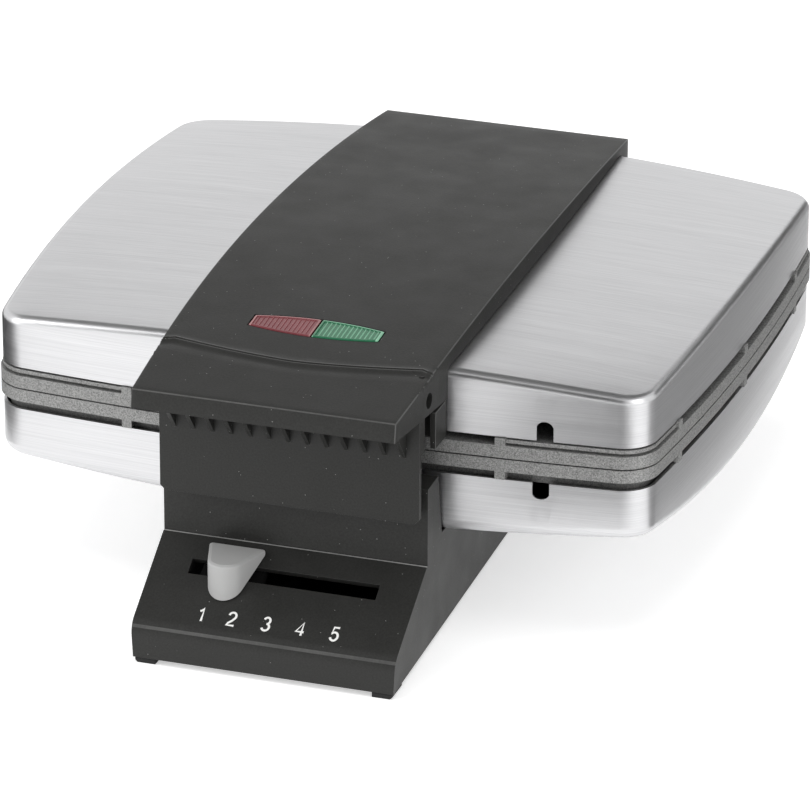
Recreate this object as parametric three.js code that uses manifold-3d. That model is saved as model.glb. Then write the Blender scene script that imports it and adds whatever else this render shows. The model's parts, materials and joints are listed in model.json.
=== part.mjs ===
import * as THREE from 'three';
import { mergeVertices } from 'three/addons/utils/BufferGeometryUtils.js';
import Module from 'manifold-3d';

const wasm = await Module();
wasm.setup();

// Belgian waffle maker for two waffles, in millimetres.
// X is across, Y runs from the front (minus) to the hinge (plus), Z is up.
// The origin is on the table, under the middle of the whole appliance.

// Clearances
const SEAT_GAP = 0.3;
const SLIDE_GAP = 0.7;
const OVERRUN = 5;

// Overall
const OVERALL_DEPTH = 320;
const FRONT_Y = -OVERALL_DEPTH / 2;
const BACK_Y = OVERALL_DEPTH / 2;

// Plan of the two cooking halves: a rectangle with bowed sides and round corners
const SHELL_HALF_WIDTH = 145;
const SHELL_FRONT_SETBACK = 57;
const SHELL_BACK_SETBACK = 14.5;
const SHELL_HALF_DEPTH = (OVERALL_DEPTH - SHELL_FRONT_SETBACK - SHELL_BACK_SETBACK) / 2;
const SHELL_CENTRE_Y = BACK_Y - SHELL_BACK_SETBACK - SHELL_HALF_DEPTH;
const CORNER_RADIUS = 13;
const END_BOW = 5.6;
const END_WIDEST = 24.5;
const FRONT_BOW = 7.4;
const BACK_BOW = 4;

// Heights of the cooking halves
const PARTING_Z = 82.8;
const PARTING_GAP = 0.6;
const RIM_HEIGHT = 5.7;
const UPPER_VENT = 2.9;
const LOWER_VENT = 3.6;
const COVER_INSET = 1;
const COVER_WALL = 1.2;
const UPPER_CROWN = { apex: 120, end: 3.3, edge: 1.6, corner: 5.4, round: 3.4, side: 1 };
const LOWER_CROWN = { apex: 40.5, end: 2, edge: 6, corner: 6.5, round: 5, side: -1 };
const LOWER_RIM_TOP = PARTING_Z - PARTING_GAP / 2;
const UPPER_RIM_BOTTOM = PARTING_Z + PARTING_GAP / 2;
const LOWER_RIM_BOTTOM = LOWER_RIM_TOP - RIM_HEIGHT;
const UPPER_RIM_TOP = UPPER_RIM_BOTTOM + RIM_HEIGHT;
const LOWER_COVER_EDGE = LOWER_RIM_BOTTOM - LOWER_VENT;
const UPPER_COVER_EDGE = UPPER_RIM_TOP + UPPER_VENT;

// Spacer tabs of the rims, and the notches of the covers
const TAB_WIDTH = 4.4;
const TAB_DEPTH = 4;
const FRONT_TAB_X = 79;
const END_TAB_PITCH = 81;
const END_TAB_SHIFT = -0.75;
const LEDGE_HEIGHT = 1.4;
const LEDGE_INSET = 1.5;
const NOTCH_X = 97;
const NOTCH_WIDTH = 7.2;
const UPPER_NOTCH_HEIGHT = 9.2;
const LOWER_NOTCH_HEIGHT = 5.5;
const NOTCH_REACH = 24;

// Waffle moulds
const WAFFLE_LENGTH = 176;
const WAFFLE_WIDTH = 103;
const WAFFLE_SPACING = 9;
const MOULD_DEPTH = 12;
const MOULD_DRAFT = 2.5;
const MOULD_WALL = 4;
const PEG_ROWS = 7;
const PEG_COLUMNS = 4;
const PEG_BASE = 17;
const PEG_TIP = 12;
const PEG_BELOW_RIM = 2.1;
const MOULD_CENTRE_X = (WAFFLE_WIDTH + WAFFLE_SPACING) / 2;
const PAN_HALF_WIDTH = WAFFLE_WIDTH + WAFFLE_SPACING / 2 + MOULD_WALL;
const PAN_HALF_LENGTH = WAFFLE_LENGTH / 2 + MOULD_WALL;

// Posts and screws that hold each plate in its cover
const POST_X = 40;
const POST_FRONT_MARGIN = 10.75;
const POST_BACK_MARGIN = 13.25;
const POST_FRONT_Y = SHELL_CENTRE_Y - PAN_HALF_LENGTH + POST_FRONT_MARGIN;
const POST_BACK_Y = SHELL_CENTRE_Y + PAN_HALF_LENGTH - POST_BACK_MARGIN;
const POST_RADIUS = 4.5;
const SCREW_RADIUS = 2;
const SCREW_HEAD_RADIUS = 3.7;
const SCREW_HEAD_HEIGHT = 2.3;
const SCREW_DEPTH = 10;

// Tubular heaters
const HEATER_RADIUS = 3.3;
const HEATER_BEND = 12;

// Top strap with its lip
const STRAP_HALF_WIDTH = 54.1;
const STRAP_SIDE_BOW = 4.4;
const STRAP_RISE = 8.4;
const STRAP_APEX = UPPER_CROWN.apex + STRAP_RISE;
const STRAP_FRONT_DROP = 11.6;
const STRAP_BACK_DROP = 8.6;
const STRAP_LIP_SLOPE = 1.3;
const STRAP_BACK_SETBACK = 4.5;
const STRAP_WALL = 2.6;
const STRAP_TAIL_ABOVE_RIM = 5.2;
const STRAP_TAIL_Z = UPPER_RIM_TOP + STRAP_TAIL_ABOVE_RIM;
const LIP_SETBACK = 1.5;
const LIP_HEIGHT = 7.7;
const LIP_FALL = 4.3;
const LIP_FRONT_Y = FRONT_Y + LIP_SETBACK;
const LIP_UNDERSIDE_FRONT = STRAP_APEX - STRAP_FRONT_DROP - LIP_HEIGHT;
const LIP_UNDERSIDE_BACK = LIP_UNDERSIDE_FRONT - LIP_FALL;
const STRAP_FRONT_TOP_Y = LIP_FRONT_Y + STRAP_LIP_SLOPE;
const STRAP_BACK_Y = BACK_Y - STRAP_BACK_SETBACK;

// Guard behind the lip, its grip ribs, and the bracket behind it
const GUARD_SETBACK = 32.3;
const GUARD_FRONT_Y = FRONT_Y + GUARD_SETBACK;
const GUARD_WALL = 2.5;
const GUARD_HALF_WIDTH = 54;
const GUARD_BOTTOM_Z = 61.4;
const GUARD_CHAMFER = 2;
const GUARD_RETURN = 6.7;
const GUARD_RETURN_Z = 90;
const RIB_COUNT = 13;
const RIB_PITCH = 7.93;
const RIB_THICKNESS = 1.6;
const RIB_TIP_Z = 89.2;
const RIB_REACH = 14;
const BRACKET_BEHIND_GUARD = 12.2;
const BRACKET_FRONT_Y = GUARD_FRONT_Y + BRACKET_BEHIND_GUARD;
const BRACKET_WALL = 2.4;
const SIDE_PIN_BEHIND_GUARD = 6.1;
const SIDE_PIN_BELOW_APEX = 16.2;
const SIDE_PIN_Y = GUARD_FRONT_Y + SIDE_PIN_BEHIND_GUARD;
const SIDE_PIN_Z = STRAP_APEX - SIDE_PIN_BELOW_APEX;
const SIDE_PIN_RADIUS = 2.9;
const SIDE_PIN_LENGTH = 14;
const SIDE_PIN_RECESS = 3;

// Indicator lamps
const LENS_SETBACK = 66;
const LENS_Y = FRONT_Y + LENS_SETBACK;
const LENS_HALF_WIDTH = 27.2;
const LENS_END_HEIGHT = 9.2;
const LENS_MIDDLE_HEIGHT = 15;
const LENS_THICKNESS = 3.2;
const LENS_SPLIT = 0.4;
const LAMP_RADIUS = 2.6;
const LAMP_LENGTH = 13;
const LAMP_BOARD_HALF_WIDTH = 25;
const LAMP_BOARD_DEPTH = 20;
const LAMP_BOARD_SETBACK = 7;
const LAMP_POST_X = 18;
const LAMP_POST_RADIUS = 2.5;
const LAMP_BOARD_THICKNESS = 1.6;

// Pedestal
const BASE_WALL = 2.6;
const BASE_FRONT_HALF = 53.8;
const BASE_BACK_HALF = 47;
const BASE_FLARE = 1.8;
const BASE_FRONT_Y = FRONT_Y;
const BASE_BOTTOM_Z = 2.5;
const CREASE_Z = 16.3;
const CREASE_ROUND = 8;
const RIDGE_SETBACK = 38.6;
const RIDGE_Y = FRONT_Y + RIDGE_SETBACK;
const RIDGE_Z = 40.6;
const HORN_TOP_Z = 73.6;
const HORN_DEPTH = 14.9;
const HORN_LEAN = 5;
const HORN_BACK_Y = RIDGE_Y + HORN_DEPTH;
const HORN_FOOT_Y = HORN_BACK_Y + HORN_LEAN;
const HORN_FOOT_Z = 47;
const TOWER_SETBACK = 2;
const TOWER_DEPTH = 11.6;
const TOWER_BACK_Y = BACK_Y - TOWER_SETBACK;
const TOWER_FRONT_Y = TOWER_BACK_Y - TOWER_DEPTH;
const TOWER_TOP_Z = 73;
const FOOT_WIDTH = 8.6;
const FOOT_LENGTH = 12;
const FOOT_CHAMFER = 1;
const BASE_SCREW_X = 38;
const BASE_SCREW_FRONT_SETBACK = 72;
const BASE_SCREW_BACK_SETBACK = 32;
const BASE_SCREW_FRONT_Y = FRONT_Y + BASE_SCREW_FRONT_SETBACK;
const BASE_SCREW_BACK_Y = BACK_Y - BASE_SCREW_BACK_SETBACK;
const BASE_SCREW_RADIUS = 1.7;
const BASE_SCREW_HEAD = 3.4;
const BASE_SCREW_HEAD_HEIGHT = 1.5;
const BASE_SCREW_DEPTH = 12;
const BOSS_RADIUS = 4.2;
const BOTTOM_PLATE_THICKNESS = 2;

// Slider on the slanted panel: positions are measured down the slope from its top edge
const SLOT_CENTRE_X = -0.2;
const SLOT_LENGTH = 78.4;
const SLOT_WIDTH = 7.2;
const SLOT_DOWN_SLOPE = 14.7;
const KNOB_REST_X = -22.2;
const KNOB_WIDTH = 24.2;
const KNOB_REACH = 19.6;
const KNOB_NOSE_RADIUS = 7.5;
const KNOB_BACK_SETBACK = 3.7;
const KNOB_BELOW_RIDGE = 0.3;
const STEM_WIDTH = 14;
const STEM_THICKNESS = 4.6;
const CARRIAGE_WIDTH = 26;
const CARRIAGE_DEPTH = 17;
const CARRIAGE_THICKNESS = 3;

// Thermostat with its lever
const LEVER_RADIUS = 60;
const LEVER_THICKNESS = 3;
const LEVER_Z = 16.5;
const LEVER_PIN_RADIUS = 2;
const LEVER_FORK_PLAY = 1.7;
const LEVER_ARM = 3.2;
const LEVER_OVERREACH = 10;
const LEVER_HUB_RADIUS = 7;
const SPINDLE_RADIUS = 3;
const THERMOSTAT_RADIUS = 12;
const THERMOSTAT_HEIGHT = 15;
const FUSE_RADIUS = 3;
const FUSE_LENGTH = 18;
const FUSE_BEHIND_CENTRE = 50;
const FUSE_Y = SHELL_CENTRE_Y + FUSE_BEHIND_CENTRE;

// Hinge
const HINGE_RADIUS = 7;
const HINGE_PIN_RADIUS = 3;
const HINGE_BORE_RADIUS = 3.35;
const HINGE_Y = BACK_Y - HINGE_RADIUS;
const HINGE_Z = 84;
const EAR_WIDTH = 10.5;
const ARM_WIDTH = 13;
const ARM_GAP = 0.8;
const ARM_BELOW_APEX = 17.4;
const ARM_TOP_Z = STRAP_APEX - ARM_BELOW_APEX;
const ARM_BACK_SETBACK = 1;

// Cord inlet and terminals at the back
const GLAND_Z = 24;
const GLAND_BORE = 3.8;
const GLAND_NECK = 6;
const GLAND_FLANGE = 8;
const GLAND_FLANGE_THICKNESS = 1.7;
const GLAND_INSIDE = 3;
const TERMINAL_WIDTH = 34;
const TERMINAL_DEPTH = 14;
const TERMINAL_HEIGHT = 13;
const TERMINAL_HOLES = 3;
const TERMINAL_SETBACK = 16;

const SIDES = 20;
const FINE_SIDES = 28;

const material = (color, roughness, metalness) =>
  new THREE.MeshStandardMaterial({ color, roughness, metalness });

const BLACK_PLASTIC = material(0x383836, 0.55, 0);
const GREY_PLASTIC = material(0xa9a9ab, 0.45, 0);
const BRUSHED_STEEL = material(0xcfcfd1, 0.34, 1);
const CAST_ALUMINIUM = material(0x8c8c8c, 0.6, 0.9);
const PIN_STEEL = material(0xb4b6b8, 0.3, 1);
const HEATER_STEEL = material(0x5c5f60, 0.5, 0.9);
const RED_LENS = material(0x7c3a40, 0.25, 0);
const GREEN_LENS = material(0x2f7c56, 0.25, 0);
const BOARD_PLASTIC = material(0xb08a4e, 0.6, 0);
const CERAMIC = material(0xe6e0d2, 0.7, 0);
const RUBBER = material(0x262626, 0.9, 0);

const appliance = new THREE.Group();

// Geometry helpers

function toSolid(geometry) {
  const bare = geometry.index ? geometry.clone() : geometry.clone();
  bare.deleteAttribute('normal');
  bare.deleteAttribute('uv');
  const merged = mergeVertices(bare, 1e-4);
  const mesh = new wasm.Mesh({
    numProp: 3,
    vertProperties: new Float32Array(merged.attributes.position.array),
    triVerts: new Uint32Array(merged.index.array),
  });
  return new wasm.Manifold(mesh);
}

function toGeometry(solid) {
  const mesh = solid.getMesh();
  const geometry = new THREE.BufferGeometry();
  geometry.setAttribute('position', new THREE.BufferAttribute(mesh.vertProperties, 3));
  geometry.setIndex(new THREE.BufferAttribute(mesh.triVerts, 1));
  return geometry;
}

function addPiece(name, shape, finish, parent = appliance) {
  const geometry = shape.isBufferGeometry ? shape : toGeometry(shape);
  const mesh = new THREE.Mesh(geometry, finish);
  mesh.name = name;
  parent.add(mesh);
  return mesh;
}

function block(x0, x1, y0, y1, z0, z1) {
  const geometry = new THREE.BoxGeometry(x1 - x0, y1 - y0, z1 - z0);
  geometry.translate((x0 + x1) / 2, (y0 + y1) / 2, (z0 + z1) / 2);
  return toSolid(geometry);
}

// An outline in the XY plane, raised from z0 to z1
function upright(points, z0, z1) {
  const shape = new THREE.Shape(points);
  const geometry = new THREE.ExtrudeGeometry(shape, { depth: z1 - z0, bevelEnabled: false });
  geometry.translate(0, 0, z0);
  return toSolid(geometry);
}

// An outline in the YZ plane, drawn across from x0 to x1
function across(points, x0, x1) {
  const shape = new THREE.Shape(points);
  const geometry = new THREE.ExtrudeGeometry(shape, { depth: x1 - x0, bevelEnabled: false });
  geometry.applyMatrix4(new THREE.Matrix4().set(0, 0, 1, x0, 1, 0, 0, 0, 0, 1, 0, 0, 0, 0, 0, 1));
  return toSolid(geometry);
}

function post(x, y, z0, z1, radius, sides = SIDES) {
  const geometry = new THREE.CylinderGeometry(radius, radius, z1 - z0, sides);
  geometry.rotateX(Math.PI / 2);
  geometry.translate(x, y, (z0 + z1) / 2);
  return toSolid(geometry);
}

function axle(x0, x1, y, z, radius, sides = SIDES) {
  const geometry = new THREE.CylinderGeometry(radius, radius, x1 - x0, sides);
  geometry.rotateZ(Math.PI / 2);
  geometry.translate((x0 + x1) / 2, y, z);
  return toSolid(geometry);
}

// A screw that points up from its head at z, or down when direction is -1
function screw(x, y, z, direction, radius, headRadius, headHeight, length) {
  const far = direction * length;
  const head = post(x, y, Math.min(z, z - direction * headHeight), Math.max(z, z - direction * headHeight), headRadius);
  const overlap = direction * headHeight / 2;
  const shank = post(x, y, Math.min(z - overlap, z + far), Math.max(z - overlap, z + far), radius, 12);
  return head.add(shank);
}

function parabola(value, reach) {
  return (value / reach) ** 2;
}

const smallest = (list) => Math.min(...list);

// How far the ends have drawn in at y, measured from the shell's centre
const endBow = (y) => END_BOW * parabola(y - END_WIDEST, SHELL_HALF_DEPTH);

// Plan outline of the cooking halves, moved inwards by inset
const EDGE_STEPS = 4;
const END_STEPS = 4;
const CORNER_STEPS = 4;

function outlinePoint(inset, fromEnd, fromEdge, endSign, edgeSign) {
  const bow = edgeSign < 0 ? FRONT_BOW : BACK_BOW;
  let x = SHELL_HALF_WIDTH;
  let y = SHELL_HALF_DEPTH;
  for (let pass = 0; pass < 16; pass++) {
    x = SHELL_HALF_WIDTH - inset - endBow(edgeSign * y) - fromEnd;
    y = SHELL_HALF_DEPTH - inset - bow * parabola(x, SHELL_HALF_WIDTH) - fromEdge;
  }
  return new THREE.Vector2(endSign * x, edgeSign * y);
}

function outlineQuarter(inset, endSign, edgeSign) {
  const bow = edgeSign < 0 ? FRONT_BOW : BACK_BOW;
  const radius = Math.max(CORNER_RADIUS - inset, 2);
  const arc = [];
  for (let step = 0; step <= CORNER_STEPS; step++) {
    const turn = (step / CORNER_STEPS) * Math.PI / 2;
    const fromEnd = radius * (1 - Math.sin(turn));
    const fromEdge = radius * (1 - Math.cos(turn));
    arc.push(outlinePoint(inset, fromEnd, fromEdge, endSign, edgeSign));
  }
  const points = [];
  for (let step = 0; step < EDGE_STEPS; step++) {
    const x = arc[0].x * step / EDGE_STEPS;
    const y = SHELL_HALF_DEPTH - inset - bow * parabola(x, SHELL_HALF_WIDTH);
    points.push(new THREE.Vector2(x, edgeSign * y));
  }
  points.push(...arc);
  const last = arc[arc.length - 1];
  for (let step = 1; step < END_STEPS; step++) {
    const y = last.y * (1 - step / END_STEPS);
    const x = SHELL_HALF_WIDTH - inset - endBow(y);
    points.push(new THREE.Vector2(endSign * x, y));
  }
  const middle = SHELL_HALF_WIDTH - inset - endBow(0);
  points.push(new THREE.Vector2(endSign * middle, 0));
  return points;
}

// Counter-clockwise seen from above, starting at the middle of the front edge
function shellOutline(inset) {
  const frontRight = outlineQuarter(inset, 1, -1);
  const backRight = outlineQuarter(inset, 1, 1).reverse().slice(1);
  const backLeft = outlineQuarter(inset, -1, 1).slice(1);
  const frontLeft = outlineQuarter(inset, -1, -1).reverse().slice(1, -1);
  const points = [...frontRight, ...backRight, ...backLeft, ...frontLeft];
  return points.map((point) => new THREE.Vector2(point.x, point.y + SHELL_CENTRE_Y));
}

function crownHeight(crown, x, y) {
  const acrossShare = parabola(x, SHELL_HALF_WIDTH);
  const alongShare = parabola(y - SHELL_CENTRE_Y, SHELL_HALF_DEPTH);
  const fall = crown.end * acrossShare + crown.edge * alongShare + crown.corner * acrossShare * alongShare;
  return crown.apex - crown.side * fall;
}

// Rings of equal length are joined in order, and the first and last are closed to a point
function loft(rings, startPoint, endPoint) {
  const count = rings[0].length;
  const vertices = [...startPoint];
  rings.forEach((ring) => ring.forEach((point) => vertices.push(point.x, point.y, point.z)));
  vertices.push(...endPoint);
  const lastIndex = 1 + rings.length * count;
  const triangles = [];
  for (let side = 0; side < count; side++) {
    const next = (side + 1) % count;
    triangles.push(0, 1 + next, 1 + side);
    for (let ring = 0; ring < rings.length - 1; ring++) {
      const low = 1 + ring * count;
      const high = low + count;
      triangles.push(low + side, low + next, high + next);
      triangles.push(low + side, high + next, high + side);
    }
    const top = 1 + (rings.length - 1) * count;
    triangles.push(top + side, top + next, lastIndex);
  }
  const geometry = new THREE.BufferGeometry();
  geometry.setAttribute('position', new THREE.BufferAttribute(new Float32Array(vertices), 3));
  geometry.setIndex(triangles);
  return geometry;
}

// One side of a cover, from its open edge to the ring before its apex, grown by grow
function coverRings(crown, edgeZ, grow, roundSteps) {
  const radius = crown.round + grow;
  const inset = COVER_INSET - grow;
  const rings = [];
  rings.push(shellOutline(inset).map((p) => new THREE.Vector3(p.x, p.y, edgeZ)));
  for (let step = 0; step <= roundSteps; step++) {
    const turn = (step / roundSteps) * Math.PI / 2;
    const inwards = radius * (1 - Math.cos(turn));
    const below = radius * (1 - Math.sin(turn));
    rings.push(shellOutline(inset + inwards).map((p) => {
      const z = crownHeight(crown, p.x, p.y) + crown.side * (grow - below);
      return new THREE.Vector3(p.x, p.y, z);
    }));
  }
  const rim = rings[rings.length - 1];
  [0.72, 0.4].forEach((share) => {
    rings.push(rim.map((p) => {
      const x = p.x * share;
      const y = SHELL_CENTRE_Y + (p.y - SHELL_CENTRE_Y) * share;
      return new THREE.Vector3(x, y, crownHeight(crown, x, y) + crown.side * grow);
    }));
  });
  return rings;
}

function flipWhenUpsideDown(geometry, crown) {
  if (crown.side > 0) return geometry;
  const index = geometry.index.array;
  for (let corner = 0; corner < index.length; corner += 3) {
    const kept = index[corner];
    index[corner] = index[corner + 1];
    index[corner + 1] = kept;
  }
  return geometry;
}

function coverShell(crown, edgeZ) {
  const outer = coverRings(crown, edgeZ, 0, 3);
  const inner = coverRings(crown, edgeZ, -COVER_WALL, 2).reverse();
  const centre = (grow) => [0, SHELL_CENTRE_Y, crown.apex + crown.side * grow];
  const geometry = loft([...inner, ...outer], centre(-COVER_WALL), centre(0));
  return toSolid(flipWhenUpsideDown(geometry, crown));
}

// The space that a cover takes up, with a clearance round it
function coverEnvelope(crown, edgeZ, clearance) {
  const rings = coverRings(crown, edgeZ + -crown.side * clearance, clearance, 3);
  const centre = [0, SHELL_CENTRE_Y, crown.apex + crown.side * clearance];
  const geometry = loft(rings, [0, SHELL_CENTRE_Y, edgeZ - crown.side * clearance], centre);
  return toSolid(flipWhenUpsideDown(geometry, crown));
}

// Cooking halves

const POSTS = [
  [-POST_X, POST_FRONT_Y],
  [POST_X, POST_FRONT_Y],
  [-POST_X, POST_BACK_Y],
  [POST_X, POST_BACK_Y],
];

function notch(height, edgeZ, side) {
  const shape = new THREE.Shape();
  const half = NOTCH_WIDTH / 2;
  const top = edgeZ + side * (height - half);
  shape.moveTo(-half, edgeZ - side * OVERRUN);
  shape.lineTo(half, edgeZ - side * OVERRUN);
  shape.lineTo(half, top);
  shape.absarc(0, top, half, 0, side * Math.PI, side < 0);
  shape.closePath();
  const depth = NOTCH_REACH;
  const geometry = new THREE.ExtrudeGeometry(shape, { depth, bevelEnabled: false, curveSegments: 8 });
  geometry.rotateX(Math.PI / 2);
  geometry.translate(NOTCH_X, SHELL_CENTRE_Y - SHELL_HALF_DEPTH + depth / 2, 0);
  return toSolid(geometry);
}

// Tabs between the rim and the cover's edge, cut from a band that follows the outline
function rimTabs(z0, z1) {
  const band = upright(shellOutline(0), z0, z1).subtract(upright(shellOutline(TAB_DEPTH), z0 - 1, z1 + 1));
  const half = TAB_WIDTH / 2;
  const reach = SHELL_HALF_WIDTH + OVERRUN;
  let cutters = null;
  const include = (cutter) => {
    cutters = cutters ? cutters.add(cutter) : cutter;
  };
  for (const x of [-FRONT_TAB_X, FRONT_TAB_X]) {
    include(block(x - half, x + half, SHELL_CENTRE_Y - reach, SHELL_CENTRE_Y + reach, z0 - 1, z1 + 1));
  }
  for (const row of [-1, 0, 1]) {
    const y = SHELL_CENTRE_Y + END_TAB_SHIFT + row * END_TAB_PITCH;
    include(block(-reach, reach, y - half, y + half, z0 - 1, z1 + 1));
  }
  return band.intersect(cutters);
}

function frustum(x, y, zBase, zTip, widthBase, lengthBase, widthTip, lengthTip) {
  const corner = Math.SQRT2 / 2;
  const height = zTip - zBase;
  const geometry = new THREE.CylinderGeometry(corner, corner, 1, 4);
  geometry.rotateY(Math.PI / 4);
  geometry.rotateX(Math.PI / 2);
  const position = geometry.attributes.position;
  for (let index = 0; index < position.count; index++) {
    const atTip = position.getZ(index) > 0;
    position.setX(index, x + position.getX(index) * (atTip ? widthTip : widthBase));
    position.setY(index, y + position.getY(index) * (atTip ? lengthTip : lengthBase));
    position.setZ(index, zBase + (atTip ? height : 0));
  }
  return toSolid(geometry);
}

// The lower plate, moulds up. The upper plate is its mirror image about the parting plane.
function mouldPlate(ventHeight, ledge) {
  const top = LOWER_RIM_TOP;
  const rimBottom = top - RIM_HEIGHT;
  const panBottom = top - MOULD_DEPTH - MOULD_WALL;
  const floor = top - MOULD_DEPTH;
  let plate = upright(shellOutline(0), rimBottom, top);
  const pan = block(
    -PAN_HALF_WIDTH, PAN_HALF_WIDTH,
    SHELL_CENTRE_Y - PAN_HALF_LENGTH, SHELL_CENTRE_Y + PAN_HALF_LENGTH,
    panBottom, top - RIM_HEIGHT / 2,
  );
  plate = plate.add(pan);
  if (ledge) {
    plate = plate.add(upright(shellOutline(LEDGE_INSET), rimBottom - LEDGE_HEIGHT, rimBottom + 1));
  }
  plate = plate.add(rimTabs(rimBottom - ventHeight + SEAT_GAP, rimBottom + 1));
  const pitchX = (WAFFLE_WIDTH - 2 * MOULD_DRAFT) / PEG_COLUMNS;
  const pitchY = (WAFFLE_LENGTH - 2 * MOULD_DRAFT) / PEG_ROWS;
  for (const side of [-1, 1]) {
    const centreX = side * MOULD_CENTRE_X;
    const over = MOULD_DRAFT * OVERRUN / MOULD_DEPTH;
    plate = plate.subtract(frustum(
      centreX, SHELL_CENTRE_Y, floor, top + OVERRUN,
      WAFFLE_WIDTH - 2 * MOULD_DRAFT, WAFFLE_LENGTH - 2 * MOULD_DRAFT,
      WAFFLE_WIDTH + 2 * over, WAFFLE_LENGTH + 2 * over,
    ));
    for (let column = 0; column < PEG_COLUMNS; column++) {
      for (let row = 0; row < PEG_ROWS; row++) {
        const x = centreX + (column - (PEG_COLUMNS - 1) / 2) * pitchX;
        const y = SHELL_CENTRE_Y + (row - (PEG_ROWS - 1) / 2) * pitchY;
        plate = plate.add(frustum(
          x, y, floor - MOULD_WALL / 2, top - PEG_BELOW_RIM,
          PEG_BASE, PEG_BASE, PEG_TIP, PEG_TIP,
        ));
      }
    }
  }
  return plate;
}

function mirrorAboutParting(geometry) {
  const position = geometry.attributes.position;
  for (let index = 0; index < position.count; index++) {
    position.setZ(index, 2 * PARTING_Z - position.getZ(index));
  }
  const triangles = geometry.index.array;
  for (let corner = 0; corner < triangles.length; corner += 3) {
    const kept = triangles[corner];
    triangles[corner] = triangles[corner + 1];
    triangles[corner + 1] = kept;
  }
  return geometry;
}

const LOWER_PAN_BOTTOM = LOWER_RIM_TOP - MOULD_DEPTH - MOULD_WALL;
const UPPER_PAN_TOP = UPPER_RIM_BOTTOM + MOULD_DEPTH + MOULD_WALL;

function platePost(crown, x, y, panFace) {
  const side = crown.side;
  const seats = [-POST_RADIUS, POST_RADIUS].flatMap((dx) => [-POST_RADIUS, POST_RADIUS].map((dy) =>
    side * crownHeight(crown, x + dx, y + dy)));
  const end = side * smallest(seats) - side * (COVER_WALL + SEAT_GAP);
  const start = panFace - side * MOULD_WALL / 2;
  const bore = post(x, y, Math.min(end, end - side * SCREW_DEPTH * 1.2) - (side < 0 ? 1 : 0),
    Math.max(end, end - side * SCREW_DEPTH * 1.2) + (side > 0 ? 1 : 0), SCREW_RADIUS + SEAT_GAP, 12);
  return post(x, y, Math.min(start, end), Math.max(start, end), POST_RADIUS, 16).subtract(bore);
}

let lowerPlate = mouldPlate(LOWER_VENT, false);
let upperPlate = toSolid(mirrorAboutParting(toGeometry(mouldPlate(UPPER_VENT, true))));
for (const [x, y] of POSTS) {
  lowerPlate = lowerPlate.add(platePost(LOWER_CROWN, x, y, LOWER_PAN_BOTTOM));
  upperPlate = upperPlate.add(platePost(UPPER_CROWN, x, y, UPPER_PAN_TOP));
}
addPiece('lower_plate', lowerPlate, CAST_ALUMINIUM);
addPiece('upper_plate', upperPlate, CAST_ALUMINIUM);

function screwHoles(solid, z0, z1) {
  return POSTS.reduce((rest, [x, y]) => rest.subtract(post(x, y, z0, z1, SCREW_RADIUS + SEAT_GAP, 12)), solid);
}

const LEVER_X = SLOT_CENTRE_X;
const PANEL_ANGLE = Math.atan2(RIDGE_Z - CREASE_Z, RIDGE_Y - BASE_FRONT_Y);
const SLOT_Y = RIDGE_Y - SLOT_DOWN_SLOPE * Math.cos(PANEL_ANGLE);
const SLOT_Z = RIDGE_Z - SLOT_DOWN_SLOPE * Math.sin(PANEL_ANGLE);
const CARRIAGE_MIDDLE = BASE_WALL + SEAT_GAP + CARRIAGE_THICKNESS / 2;
const LEVER_PIN_Y = SLOT_Y + CARRIAGE_MIDDLE * Math.sin(PANEL_ANGLE);
const LEVER_PIVOT_Y = LEVER_PIN_Y + LEVER_RADIUS;
const SPINDLE_HOLE = SPINDLE_RADIUS + SLIDE_GAP + 1;

const lowerEdge = LOWER_COVER_EDGE;
let lowerCover = coverShell(LOWER_CROWN, lowerEdge);
lowerCover = lowerCover.subtract(notch(LOWER_NOTCH_HEIGHT, lowerEdge, -1));
lowerCover = screwHoles(lowerCover, 0, PARTING_Z);
lowerCover = lowerCover.subtract(post(LEVER_X, LEVER_PIVOT_Y, 0, PARTING_Z, SPINDLE_HOLE));
addPiece('lower_cover', lowerCover, BRUSHED_STEEL);

const upperEdge = UPPER_COVER_EDGE;
const LAMP_WINDOW_MARGIN = 3;
const lampBoardFront = LENS_Y + LAMP_BOARD_SETBACK - LAMP_BOARD_DEPTH / 2;
const lampBoardBack = lampBoardFront + LAMP_BOARD_DEPTH;
let upperCover = coverShell(UPPER_CROWN, upperEdge);
upperCover = upperCover.subtract(notch(UPPER_NOTCH_HEIGHT, upperEdge, 1));
upperCover = screwHoles(upperCover, PARTING_Z, 2 * PARTING_Z);
upperCover = upperCover.subtract(block(
  -LAMP_BOARD_HALF_WIDTH - LAMP_WINDOW_MARGIN, LAMP_BOARD_HALF_WIDTH + LAMP_WINDOW_MARGIN,
  lampBoardFront - LAMP_WINDOW_MARGIN, lampBoardBack + LAMP_WINDOW_MARGIN,
  upperEdge, 2 * PARTING_Z,
));
addPiece('upper_cover', upperCover, BRUSHED_STEEL);

// Tubular heaters against the backs of the moulds

function roundedRoute(corners, radius) {
  const route = new THREE.CurvePath();
  let from = corners[0];
  for (let index = 1; index < corners.length - 1; index++) {
    const corner = corners[index];
    const before = corner.clone().sub(corners[index - 1]).setLength(radius);
    const after = corners[index + 1].clone().sub(corner).setLength(radius);
    const entry = corner.clone().sub(before);
    const exit = corner.clone().add(after);
    route.add(new THREE.LineCurve3(from, entry));
    route.add(new THREE.QuadraticBezierCurve3(entry, corner, exit));
    from = exit;
  }
  route.add(new THREE.LineCurve3(from, corners[corners.length - 1]));
  return route;
}

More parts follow.
